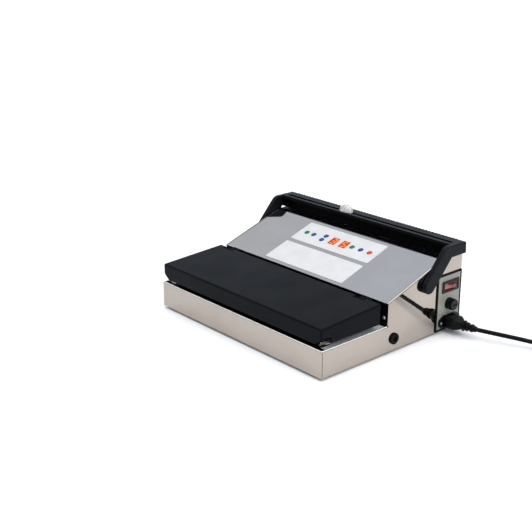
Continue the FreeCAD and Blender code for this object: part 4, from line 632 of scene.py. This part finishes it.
TIE_ANGLE = radians(290.0)
TIE_THICK, TIE_WIDTH, TIE_SLACK, TIE_BEND, TIE_EDGE = 0.9, 9.0, 0.2, 3.4, 0.35
tie_out = Vector((cos(first_angle + TIE_ANGLE), sin(first_angle + TIE_ANGLE), 0.0))
tie_along = Vector((-tie_out.y, tie_out.x, 0.0))
tie_sweep = TIE_ANGLE
passes = []
while tie_sweep < 2 * half_sweep:
    passes.append((coil_place(tie_sweep) - coil_centre).xy.length)
    tie_sweep += FULL_TURN
bundle_middle = Vector((coil_centre.x, coil_centre.y, 0.0)) + tie_out * (min(passes) + max(passes)) / 2
bundle_middle.z = coil_start.z + COIL_PITCH / 2
bundle_skin = 2 * (CORD_RADIUS / MM + TIE_SLACK) + TIE_THICK
loop = rounded_ring(max(passes) - min(passes) + bundle_skin, COIL_PITCH + bundle_skin, TIE_BEND, 8)
tie_rings = []
for k, (x, y) in enumerate(loop):
    x1, y1 = loop[(k + 1) % len(loop)]
    x0, y0 = loop[k - 1]
    normal = Vector((y1 - y0, x0 - x1)).normalized()
    ring = []
    for across, out in rounded_ring(TIE_WIDTH, TIE_THICK, TIE_EDGE, 2):
        flat = Vector((x, y)) + normal * out
        ring.append((bundle_middle + tie_out * flat.x + Vector((0, 0, flat.y)) + tie_along * across) * MM)
    tie_rings.append(ring)
tie = place_rings("lead_tie", [tie_rings], "tie_black", "housing", "tie_black", "cord_tie", closed_path=True)

# %% [markdown]
# Geometry Nodes make what repeats. This helper builds a tree with named inputs, runs it on a bare object, and keeps
# the result as a plain mesh.

# %% Helpers for node trees
SOCKET_KINDS = {int: "Int", float: "Float", tuple: "Vector"}


class Tree:
    """A geometry node tree under construction. Its sizes are inputs, which any step may use by name."""

    def __init__(self, name, **sizes):
        self.group = bpy.data.node_groups.new(name, "GeometryNodeTree")
        sockets = self.group.interface
        sockets.new_socket("Points", in_out="INPUT", socket_type="NodeSocketGeometry")
        self.keys = {}
        for label, value in sizes.items():
            kind = "NodeSocket" + SOCKET_KINDS.get(type(value), "Object")
            self.keys[label] = (sockets.new_socket(label, in_out="INPUT", socket_type=kind).identifier, value)
        sockets.new_socket("Geometry", in_out="OUTPUT", socket_type="NodeSocketGeometry")
        self.start = self.group.nodes.new("NodeGroupInput")
        self.end = self.group.nodes.new("NodeGroupOutput")

    def add(self, kind, inputs, output=0, **settings):
        """Adds a node, whose inputs are sockets, values or names of sizes, and returns one of its outputs."""
        found = {}
        for label, value in inputs.items():
            is_size = isinstance(value, str) and value in self.start.outputs
            found[label] = self.start.outputs[value] if is_size else value
        return wire(self.group, kind, found, **settings).outputs[output]

    def circle(self, radius, sides):
        return self.add("GeometryNodeCurvePrimitiveCircle", {"Resolution": sides, "Radius": radius})

    def line(self, start, end):
        return self.add("GeometryNodeCurvePrimitiveLine", {"Start": start, "End": end})

    def fillet(self, curve, radius, count):
        return self.add("GeometryNodeFilletCurve", {"Curve": curve, "Radius": radius, "Count": count}, mode="POLY")

    def rounded(self, width, height, corner, count):
        """A rectangle with rounded corners."""
        flat = self.add("GeometryNodeCurvePrimitiveQuadrilateral", {"Width": width, "Height": height})
        return self.fillet(flat, corner, count)

    def upright(self, curve):
        """Keeps a profile level along a path."""
        return self.add("GeometryNodeSetCurveNormal", {"Curve": curve}, mode="Z_UP")

    def sweep(self, path, profile, caps=True):
        return self.add("GeometryNodeCurveToMesh", {"Curve": path, "Profile Curve": profile, "Fill Caps": caps})

    def copies(self, points, instance, **more):
        return self.add("GeometryNodeInstanceOnPoints", {"Points": points, "Instance": instance, **more})

    def place(self, name, geometry, finish, body, slot, *stands_for, points=(), **attributes):
        """Gives the geometry its finish, runs the tree on these points and places the plain mesh as a piece."""
        real = self.add("GeometryNodeRealizeInstances", {"Geometry": geometry})
        paint = self.add("GeometryNodeSetMaterial", {"Geometry": real, "Material": finishes[finish]})
        self.group.links.new(paint, self.end.inputs["Geometry"])
        base = bpy.data.meshes.new(name + "_points")
        base.from_pydata(points, [], [])
        for label, values in attributes.items():
            layer = base.attributes.new(label, "FLOAT_VECTOR", "POINT")
            for item, value in zip(layer.data, values):
                item.vector = value
        maker = new_object(name + "_maker", base)
        modifier = maker.modifiers.new("tree", "NODES")
        modifier.node_group = self.group
        for identifier, value in self.keys.values():
            modifier[identifier] = value
        graph = bpy.context.evaluated_depsgraph_get()
        mesh = bpy.data.meshes.new_from_object(maker.evaluated_get(graph))
        mesh.name = name
        bpy.data.objects.remove(maker)
        return place_piece(name, shade(mesh), None, body, slot, *stands_for)


print("node tree helper ready")

# %% [markdown]
# The screws are pan heads with a cross recess. One head is drawn as a mesh, and a tree sets a copy on each place,
# turned to face outwards and sized for that screw.

# %% Screw heads
HEAD_HEIGHT = 0.6
HEAD_SIDES = 24
HEAD_CREASE = radians(50.0)
HEAD_STEPS = ((1.0, -0.02), (1.0, 0.22), (0.93, 0.42), (0.78, 0.55), (0.66, HEAD_HEIGHT))
CROSS_ARM, CROSS_REACH, CROSS_DEPTH, CROSS_TAPER = 0.16, 0.62, 0.3, 0.8
PLATE_FACE = 191.2
REAR_FACE = 153.5
RISER_FACE = -16.5
SCREW_ROWS = (
    ([(sx * 156.0, sy * 119.5, 2.0) for sx in (-1, 1) for sy in (-1, 1)], (0, 0, -1), 3.6, 1.6),
    ([(x, REAR_FACE, 12.0) for x in (-161.5, -57.0, 57.0, 161.5)], (0, 1, 0), 3.4, 1.8),
    ([(x, RISER_FACE, 58.5) for x in (-182.7, 182.7)], (0, -1, 0), 2.8, 1.8),
    ([(x, RISER_FACE - 1.2, 58.5) for x in (-165.75, -154.25, 143.25, 154.75)], (0, -1, 0), 2.6, 1.6),
    ([(PLATE_FACE, y, z) for y, z in ((146.0, 89.5), (106.6, 34.0))], (1, 0, 0), 2.0, 1.0),
    ([(PLATE_FACE + 2.5, y, 18.0) for y in (106.5, 146.5)], (1, 0, 0), 2.2, 1.2),
)


def cross_head():
    """A pan head of unit radius with a sunk cross."""
    edit = bmesh.new()
    rows = skin(edit, [[(radius * cos(a), radius * sin(a), height) for a in around(HEAD_SIDES)]
                       for radius, height in HEAD_STEPS], caps=False)
    arm, reach = CROSS_ARM, CROSS_REACH
    cross = [(arm, arm), (arm, reach), (-arm, reach)]
    cross += [(-y, x) for x, y in cross]
    cross += [(-x, -y) for x, y in cross]
    rim, floor = skin(edit, [[(share * x, share * y, height) for x, y in cross] for share, height in (
        (1.0, HEAD_HEIGHT), (CROSS_TAPER, HEAD_HEIGHT - CROSS_DEPTH))], caps=False)
    edit.faces.new(floor[::-1])
    edges = [edit.edges.get((loop[i], loop[(i + 1) % len(loop)])) for loop in (rows[-1], rim)
             for i in range(len(loop))]
    bmesh.ops.triangle_fill(edit, use_beauty=True, edges=edges)
    edit.faces.new(rows[0][::-1])
    return mesh_of(edit, "cross_head", HEAD_CREASE)


head_maker = new_object("cross_head", cross_head())
screw_tree = Tree("screw_heads", Head=head_maker)
facing = screw_tree.add("GeometryNodeInputNamedAttribute", {"Name": "outward"}, data_type="FLOAT_VECTOR")
measure = screw_tree.add("GeometryNodeInputNamedAttribute", {"Name": "measure"}, data_type="FLOAT_VECTOR")
head = screw_tree.add("GeometryNodeObjectInfo", {"Object": "Head"}, output="Geometry")
aim = screw_tree.add("FunctionNodeAlignRotationToVector", {"Vector": facing}, axis="Z")
screws = [(place, outward, radius, height) for places, outward, radius, height in SCREW_ROWS for place in places]
screw_tree.place(
    "screw_heads", screw_tree.copies("Points", head, Rotation=aim, Scale=measure), "screw_steel",
    "housing", "screw_steel", "case_screws", points=[Vector(place) * MM for place, _, _, _ in screws],
    outward=[outward for _, outward, _, _ in screws],
    measure=[(radius * MM, radius * MM, height / HEAD_HEIGHT * MM) for _, _, radius, height in screws],
)
bpy.data.objects.remove(head_maker)

# %% [markdown]
# The front and side walls end in a rolled edge. It wears a paler, duller steel than the walls, a painted highlight
# that shows as a fine bright line. A tree strings points into a path, rounds its corners and sweeps a small circle
# along it.

# %% Rolled wall edges
WALL_TOP = 46.0
HALF_WIDTH = 190.0
EDGE_RADIUS, EDGE_CORNER = 0.8, 1.2
EDGE_LINE = HALF_WIDTH - EDGE_RADIUS
FRONT_LINE = -REAR_FACE + EDGE_RADIUS
EDGE_END = RISER_FACE - 1.0
edge_tree = Tree("rolled_edge", Radius=EDGE_RADIUS * MM, Corner=EDGE_CORNER * MM)
edge_points = edge_tree.add("GeometryNodeMeshToPoints", {"Mesh": "Points"})
edge_path = edge_tree.fillet(edge_tree.add("GeometryNodePointsToCurves", {"Points": edge_points}), "Corner", 6)
edge_sweep = edge_tree.sweep(edge_tree.upright(edge_path), edge_tree.circle("Radius", 12))
edge_corners = [(EDGE_LINE, EDGE_END), (EDGE_LINE, FRONT_LINE), (-EDGE_LINE, FRONT_LINE), (-EDGE_LINE, EDGE_END)]
# The rolled edge wears the pale steel, a painted highlight that shows as a fine bright line.
edge_tree.place("wall_edges", edge_sweep, "edge_steel_painted_highlight", "housing", "steel_polished",
                points=[Vector((x, y, WALL_TOP)) * MM for x, y in edge_corners])

# %% [markdown]
# The rear strip of the handle's top is ribbed across for grip. A tree sets round ribs, sunk for the most part, in a
# row along the bar.

# %% Handle ribs
RIB_COUNT, RIB_PITCH, RIB_RADIUS, RIB_PROUD = 54, 6.8 * MM, 1.3 * MM, 0.2 * MM
RIB_FRONT, RIB_REAR = 138.4 * MM, 149.6 * MM
BAR_TOP = 146.0 * MM
rib_start = -0.5 * (RIB_COUNT - 1) * RIB_PITCH
rib_tree = Tree(
    "grip_ribs", Count=RIB_COUNT, Pitch=(RIB_PITCH, 0.0, 0.0), Radius=RIB_RADIUS,
    Start=(rib_start, 0.0, BAR_TOP + RIB_PROUD - RIB_RADIUS), Front=(0.0, RIB_FRONT, 0.0), Rear=(0.0, RIB_REAR, 0.0),
)
rib_row = rib_tree.add("GeometryNodeMeshLine", {"Count": "Count", "Start Location": "Start", "Offset": "Pitch"})
rib = rib_tree.sweep(rib_tree.line("Front", "Rear"), rib_tree.circle("Radius", 16))
rib_tree.place("grip_ribs", rib_tree.copies(rib_row, rib), "handle_black", "handle", "handle_black")

# %% [markdown]
# Two foam gaskets meet round the trough, one on the deck and one in the lid. Each is a soft ring with a crowned face.
# A tree sweeps a rounded profile round a filleted rectangle.

# %% Gaskets
GASKET_BAND, GASKET_CORNER, GASKET_CROWN = 9.0 * MM, 7.5 * MM, 0.48
for piece_name, node, body in (("deck_gasket", "lower_gasket", "housing"), ("lid_gasket_foam", "lid_gasket", "lid")):
    low, high = (Vector(c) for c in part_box(node))
    tall = high.z - low.z
    tree = Tree(
        piece_name, Length=high.x - low.x - GASKET_BAND, Width=high.y - low.y - GASKET_BAND, Corner=GASKET_CORNER,
        Band=GASKET_BAND, Height=tall, Crown=GASKET_CROWN * tall, Middle=tuple((low + high) / 2),
    )
    path = tree.upright(tree.rounded("Length", "Width", "Corner", 8))
    ring = tree.sweep(path, tree.rounded("Band", "Height", "Crown", 6), caps=False)
    moved = tree.add("GeometryNodeTransform", {"Geometry": ring, "Translation": "Middle"})
    gasket = tree.place(piece_name, moved, "foam_black", body, "foam_black", node)

# %% [markdown]
# Over the seal bar the lid carries a rubber strip that presses the film down. It is extruded with a crowned face,
# so a tree draws a filleted profile along a straight line.

# %% Pressure strip
STRIP_CROWN = 2.4 * MM
strip_low, strip_high = (Vector(c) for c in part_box("pressure_strip"))
strip_middle = (strip_low + strip_high) / 2
strip_tree = Tree(
    "pressure_strip", Left=(strip_low.x, strip_middle.y, strip_middle.z), Crown=STRIP_CROWN,
    Right=(strip_high.x, strip_middle.y, strip_middle.z),
    Width=strip_high.y - strip_low.y, Height=strip_high.z - strip_low.z,
)
strip_path = strip_tree.upright(strip_tree.line("Left", "Right"))
strip_sweep = strip_tree.sweep(strip_path, strip_tree.rounded("Width", "Height", "Crown", 8))
strip_tree.place("pressure_rubber", strip_sweep, "silicone_red", "lid", "silicone_red", "pressure_strip")

# %% [markdown]
# The heating strip lies under a coated cloth tape, which keeps melted film from sticking. The tape is a thin closed
# sheet that follows the bar with the slightest ripple, as taped cloth does.

# %% Non-stick tape
TAPE_THICK = 0.22
TAPE_CORNER = 0.1
TAPE_STEPS = 120
RIPPLE_HEIGHT, RIPPLE_SHORT, RIPPLE_LONG = 0.025 * MM, 0.37, 0.11
tape_low, tape_high = (Vector(c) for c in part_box("ptfe_tape"))
tape_width = tape_high.y - tape_low.y
tape_length = tape_high.x - tape_low.x
tape_rings = []
for k in range(TAPE_STEPS + 1):
    x = tape_low.x + tape_length * k / TAPE_STEPS
    lift = RIPPLE_HEIGHT * sin(RIPPLE_SHORT * k) * sin(RIPPLE_LONG * k)
    middle_z = (tape_low.z + tape_high.z) / 2 + lift
    tape_rings.append([(x, (tape_low.y + tape_high.y) / 2 + a * MM, middle_z + b * MM)
                       for a, b in rounded_ring(tape_width / MM, TAPE_THICK, TAPE_CORNER, 2)])
tape = place_rings("seal_tape", [tape_rings], "ptfe_cloth", "housing", "ptfe_cloth", "ptfe_tape")

# %% [markdown]
# Inside, a short silicone hose joins the trough's valve to the pump. It is a second spline with its own four points.

# %% Vacuum hose
HOSE_RADIUS = 4.0 * MM
HOSE_ROUTE = [(-100.0, -17.5, 37.0), (-100.0, -4.5, 37.0), (-120.3, 23.5, 56.0), (-120.3, 36.5, 56.0)]
hose = nurbs_tube("pump_hose", HOSE_ROUTE, HOSE_RADIUS, "silicone_grey", sides=4, steps=12)
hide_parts("vacuum_hose")
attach(hose, "housing")
print("hose points:", len(HOSE_ROUTE))

# %% [markdown]
# Each display shows one lit digit. A digit is a list of bars between the corners of two stacked squares, drawn in the
# panel's slope and leaning a little.

# %% Lit digits
PANEL_FOOT = Vector((0.0, -16.5, 82.4))
PANEL_SLOPE = radians(18.755)
PANEL_UP = Vector((0.0, cos(PANEL_SLOPE), sin(PANEL_SLOPE)))
PANEL_OUT = Vector((0.0, -sin(PANEL_SLOPE), cos(PANEL_SLOPE)))
KEY_LINE = 91.62
LABEL_THICK = 0.6
DISPLAY_CENTRES = (-11.5, 12.7)
DIGIT_WIDTH, DIGIT_HEIGHT, DIGIT_STROKE, DIGIT_LEAN, DIGIT_GAP = 7.4, 12.4, 2.0, 0.12, 0.25
DIGIT_FOOT, DIGIT_FACE = -0.05, 0.06
CORNERS = {"a": (-1, 1), "b": (1, 1), "c": (-1, 0), "d": (1, 0), "e": (-1, -1), "f": (1, -1)}
DIGITS = ("ab bd cd df ef", "ab ac cd df ef")


def on_panel(x, along, height):
    """A place on the sloping panel, in metres: across, up the slope, and out from it, in millimetres."""
    return (PANEL_FOOT + Vector((x, 0.0, 0.0)) + PANEL_UP * along + PANEL_OUT * height) * MM


def digit_corner(name):
    x, y = CORNERS[name]
    y *= DIGIT_HEIGHT / 2
    return Vector((x * DIGIT_WIDTH / 2 + DIGIT_LEAN * y, y))


digit_rings = []
for centre, bars in zip(DISPLAY_CENTRES, DIGITS):
    for bar in bars.split():
        first, last = digit_corner(bar[0]), digit_corner(bar[1])
        run = (last - first).normalized()
        side = Vector((-run.y, run.x)) * DIGIT_STROKE / 2
        tip = run * DIGIT_STROKE / 2
        first, last = first + run * DIGIT_GAP, last - run * DIGIT_GAP
        outline = [first, first + tip + side, last - tip + side, last, last - tip - side, first + tip - side]
        digit_rings.append([[on_panel(centre + p.x, KEY_LINE + p.y, LABEL_THICK + h) for p in outline]
                            for h in (DIGIT_FOOT, DIGIT_FACE)])
place_rings("lit_digits", digit_rings, "lit_segment", "housing", "display_red")

# %% [markdown]
# The keys are small domes that stand out of the label. Each solid is a flat button, so a dome is set on each, and it
# moves with its key.

# %% Key domes
KEY_RADIUS, DOME_RISE, DOME_SUNK = 4.5, 1.5, 0.15
DOME_STEPS, DOME_SIDES = 8, 36
DOME_END = 88.0
KEY_PLACES = {
    "key_start": (-76.2, 0.0), "key_pulse": (-59.5, 0.0), "key_time_up": (-35.0, 5.8),
    "key_time_down": (-35.0, -5.8), "key_seal": (30.8, 0.0), "key_mode": (50.1, 0.0), "key_stop": (69.4, 0.0),
}
KEY_SLOTS = {"key_start": "key_green", "key_seal": "key_green", "key_stop": "key_red"}
for key, (across, offset) in KEY_PLACES.items():
    key_top = max((v.co / MM - PANEL_FOOT).dot(PANEL_OUT) for v in nodes[key].data.vertices)
    dome_rings = []
    for k in range(DOME_STEPS + 1):
        a = radians(DOME_END * k / DOME_STEPS)
        radius, rise = KEY_RADIUS * cos(a), DOME_RISE * sin(a)
        dome_rings.append([
            on_panel(across + radius * cos(t), KEY_LINE + offset + radius * sin(t),
                     key_top - DOME_SUNK + rise)
            for t in around(DOME_SIDES)
        ])
    slot = KEY_SLOTS.get(key, "key_blue")
    place_rings(key + "_dome", [dome_rings], slot, key, slot, angle=SOFT_CREASE)

# %% [markdown]
# The rocker is a clear red moulding with a hollowed face, so that a finger finds each end. Its sections are drawn
# along its length. The usual bar and ring for on and off are thin strokes on it.

# %% Rocker
ROCKER_AXIS = Vector((187.0, 126.4, 76.8))
ROCKER_HALF, ROCKER_WIDTH, ROCKER_FACE, ROCKER_SUNK = 14.0, 11.0, 6.0, 1.1
ROCKER_ROUND, ROCKER_CORNER, ROCKER_TAPER = 1.0, 0.9, 0.3
ROCKER_LEAN = radians(-8.0)
ROCKER_STEPS = 26
PIN_WIDTH, PIN_CORNER, PIN_HALF = 3.0, 1.48, 6.4
MARK_PLACE, MARK_HALF = 8.8, 0.05
RING_INNER, RING_OUTER, RING_TALL, RING_STEPS = 1.15, 1.65, 1.2, 32


def on_rocker(along, up, out):
    """A place in the rocker's own lean, in metres: along it, up, and out from its axis, in millimetres."""
    flat = Vector((out, along, up))
    flat.rotate(Matrix.Rotation(ROCKER_LEAN, 3, "Z"))
    return (ROCKER_AXIS + flat) * MM


def rocker_face(along):
    """How far the hollowed face stands out."""
    return ROCKER_FACE - ROCKER_SUNK * (1.0 - min(1.0, abs(along) / (ROCKER_HALF - ROCKER_ROUND)) ** 2)


rocker_rings = []
for k in range(ROCKER_STEPS + 1):
    along = -ROCKER_HALF + 2 * ROCKER_HALF * k / ROCKER_STEPS
    into_end = max(0.0, abs(along) - ROCKER_HALF + ROCKER_ROUND)
    inset = 1.0 - sqrt(max(0.0, 1.0 - into_end ** 2))
    face = rocker_face(along) - inset
    depth = face + ROCKER_FACE
    rocker_rings.append([
        on_rocker(along, b, face - depth / 2 + a)
        for a, b in rounded_ring(depth, ROCKER_WIDTH - ROCKER_TAPER * inset, ROCKER_CORNER, 4)
    ])
pin_ring = rounded_ring(PIN_WIDTH, PIN_WIDTH, PIN_CORNER, 4)
pin_rings = [[on_rocker(a, up, b) for a, b in pin_ring] for up in (-PIN_HALF, PIN_HALF)]
place_rings("rocker_cap", [rocker_rings, pin_rings], "rocker_red", "rocker", "rocker_red", "power_rocker")

edit = bmesh.new()
bar_outline = rounded_ring(0.6, 3.8, 0.25, 3)
skin(edit, [[on_rocker(a - MARK_PLACE, b, rocker_face(MARK_PLACE - a) + h) for a, b in bar_outline]
            for h in (-MARK_HALF, MARK_HALF)])
ring_outline = ((RING_INNER, -MARK_HALF), (RING_OUTER, -MARK_HALF), (RING_OUTER, MARK_HALF), (RING_INNER, MARK_HALF))
ring_sections = []
for a in around(RING_STEPS):
    ring_sections.append([
        on_rocker(MARK_PLACE + r * cos(a), RING_TALL * r * sin(a),
                  rocker_face(MARK_PLACE + r * cos(a)) + h)
        for r, h in ring_outline
    ])
skin(edit, ring_sections, closed_path=True)
place_piece("rocker_marks", mesh_of(edit, "rocker_marks"), "rocker_mark", "rocker", "nylon_white")

# %% [markdown]
# The fuse cap is turned by hand, so its rim is knurled. A tree sets short half-sunk bars round the cap.

# %% Fuse cap knurl
FUSE_AXIS = Vector((0.0, 124.7, 47.4)) * MM
CAP_FOOT, CAP_END, CAP_RADIUS = 196.1 * MM, 203.6 * MM, 9.0 * MM
BAR_COUNT, BAR_RADIUS, BAR_SUNK = 30, 0.42 * MM, 0.1 * MM
BAR_FROM_FOOT, BAR_FROM_END = 0.6 * MM, 1.4 * MM
knurl_tree = Tree(
    "cap_knurl", Bars=BAR_COUNT, Ring=CAP_RADIUS - BAR_SUNK, Bar=BAR_RADIUS, Turn=(0.0, pi / 2, 0.0),
    Start=(CAP_FOOT + BAR_FROM_FOOT, 0.0, 0.0), End=(CAP_END - BAR_FROM_END, 0.0, 0.0), Middle=tuple(FUSE_AXIS),
)
knurl_ring = knurl_tree.add("GeometryNodeMeshCircle", {"Vertices": "Bars", "Radius": "Ring"})
knurl_points = knurl_tree.add("GeometryNodeTransform", {"Geometry": knurl_ring, "Rotation": "Turn"})
knurl_bar = knurl_tree.sweep(knurl_tree.line("Start", "End"), knurl_tree.circle("Bar", 8))
knurl_bars = knurl_tree.copies(knurl_points, knurl_bar)
knurl_place = knurl_tree.add("GeometryNodeTransform", {"Geometry": knurl_bars, "Translation": "Middle"})
knurl_tree.place("cap_knurl", knurl_place, "black_gloss", "fuse_cap", "black_gloss")

# %% [markdown]
# The knob of the cutter is a cloudy clear dome with a flat foot and a finger groove on each side.

# %% Cutter knob
KNOB_SIZE = Vector((28.0, 17.0, 11.5))
KNOB_STEPS, KNOB_SIDES = 14, 48
KNOB_POWER, KNOB_LEAST = 2.6, 0.02
GROOVE_SHARE, GROOVE_WIDTH = 0.10, 0.32
knob_low, knob_high = (Vector(c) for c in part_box("cutter_knob"))
knob_foot = Vector(((knob_low.x + knob_high.x) / 2, (knob_low.y + knob_high.y) / 2, knob_low.z))
knob_rings = []
for k in range(KNOB_STEPS + 1):
    rise = k / KNOB_STEPS
    radius = max(sqrt(max(0.0, 1.0 - rise ** KNOB_POWER)), KNOB_LEAST)
    ring = []
    for a in around(KNOB_SIDES):
        waist = 1.0 - GROOVE_SHARE * exp(-((cos(a) / GROOVE_WIDTH) ** 2)) * (1.0 - rise)
        x = 0.5 * KNOB_SIZE.x * cos(a) * radius
        y = 0.5 * KNOB_SIZE.y * sin(a) * radius * waist
        ring.append(knob_foot + Vector((x, y, KNOB_SIZE.z * rise)) * MM)
    knob_rings.append(ring)
place_rings("cutter_dome", [knob_rings], "knob_clear", "cutter", "knob_clear", "cutter_knob", angle=SOFT_CREASE)

# %% [markdown]
# Solids that already have the right shape keep it, and only get their finish. Most finishes bear the name of their
# slot, and a few solids have one of their own.

# %% Finishes on the solids
SLOT_FINISHES = {"steel_polished": "polished_steel", "steel_satin": "satin_steel"}
OWN_FINISHES = {
    "top_cover": "panel_steel", "front_deck": "deck_painted_light_and_shade", "handle_frame": "bar_black_front_shade",
    "element_clips": "edge_steel_painted_highlight",
}
for entry in frame["record"]["subparts"]:
    slot = entry["material_slot"]
    finish = finishes[OWN_FINISHES.get(entry["node"], SLOT_FINISHES.get(slot, slot))]
    solid = nodes[entry["node"]]
    if not solid.material_slots:
        solid.data.materials.append(finish)
    for material_slot in solid.material_slots:
        material_slot.material = finish

# %% [markdown]
# The floor is a wide pale sheet. The room is a soft dome, brightest overhead and dim near the horizon, so that the
# table turns white, the dark mouldings stay dark, and the polished sheets have shades to mirror.

# %% Studio
FLOOR_HALF, FLOOR_LEVEL = 20.0, -0.0005
ROOM_LIGHT = 2.4
ROOM_SHADES = (
    (0.0, (0.25, 0.27, 0.30)), (0.44, (0.25, 0.272, 0.305)), (0.58, (0.252, 0.255, 0.262)),
    (0.74, (0.26, 0.272, 0.295)), (0.87, (0.95, 0.97, 1.0)), (1.0, (1.0, 1.0, 1.0)),
)

floor_edit = bmesh.new()
bmesh.ops.create_grid(floor_edit, x_segments=2, y_segments=2, size=FLOOR_HALF)
floor_mesh = bpy.data.meshes.new("studio_floor")
floor_edit.to_mesh(floor_mesh)
floor_edit.free()
floor_mesh.materials.append(new_finish("floor_white", Base_Color=(0.9, 0.9, 0.9, 1.0), Roughness=0.8,
                                       specular=0.1))
floor = new_object("studio_floor", floor_mesh)
floor.location.z = FLOOR_LEVEL
floor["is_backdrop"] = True

world = bpy.data.worlds.new("studio_room")
bpy.context.scene.world = world
world.use_nodes = True
room_tree = world.node_tree
room = room_tree.nodes["Background"]
room.inputs["Strength"].default_value = ROOM_LIGHT
direction = wire(room_tree, "ShaderNodeTexCoord").outputs["Generated"]
height = wire(room_tree, "ShaderNodeSeparateXYZ", {"Vector": direction}).outputs["Z"]
dome = wire(room_tree, "ShaderNodeValToRGB", {"Fac": height})
while len(dome.color_ramp.elements) < len(ROOM_SHADES):
    dome.color_ramp.elements.new(0.5)
for element, (level, room_shade) in zip(dome.color_ramp.elements, ROOM_SHADES):
    element.position = level
    element.color = (*room_shade, 1.0)
room_tree.links.new(dome.outputs["Color"], room.inputs["Color"])

for name, place, target, size, power in (
    ("overhead_light", (0.2, -0.3, 2.6), (0.1, 0.05, 0.0), 2.4, 6.0),
    ("side_light", (1.5, -0.35, 1.15), (0.15, -0.08, 0.05), 0.9, 10.0),
):
    lamp = bpy.data.lights.new(name, "AREA")
    lamp.size = size
    lamp.energy = power
    light = new_object(name, lamp)
    light.location = place
    light.rotation_euler = (Vector(target) - Vector(place)).to_track_quat("-Z", "Y").to_euler()
bpy.context.scene.view_settings.view_transform = "Standard"
print("studio ready")

low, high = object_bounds()
print("visual box", [round(v, 4) for v in low], [round(v, 4) for v in high])
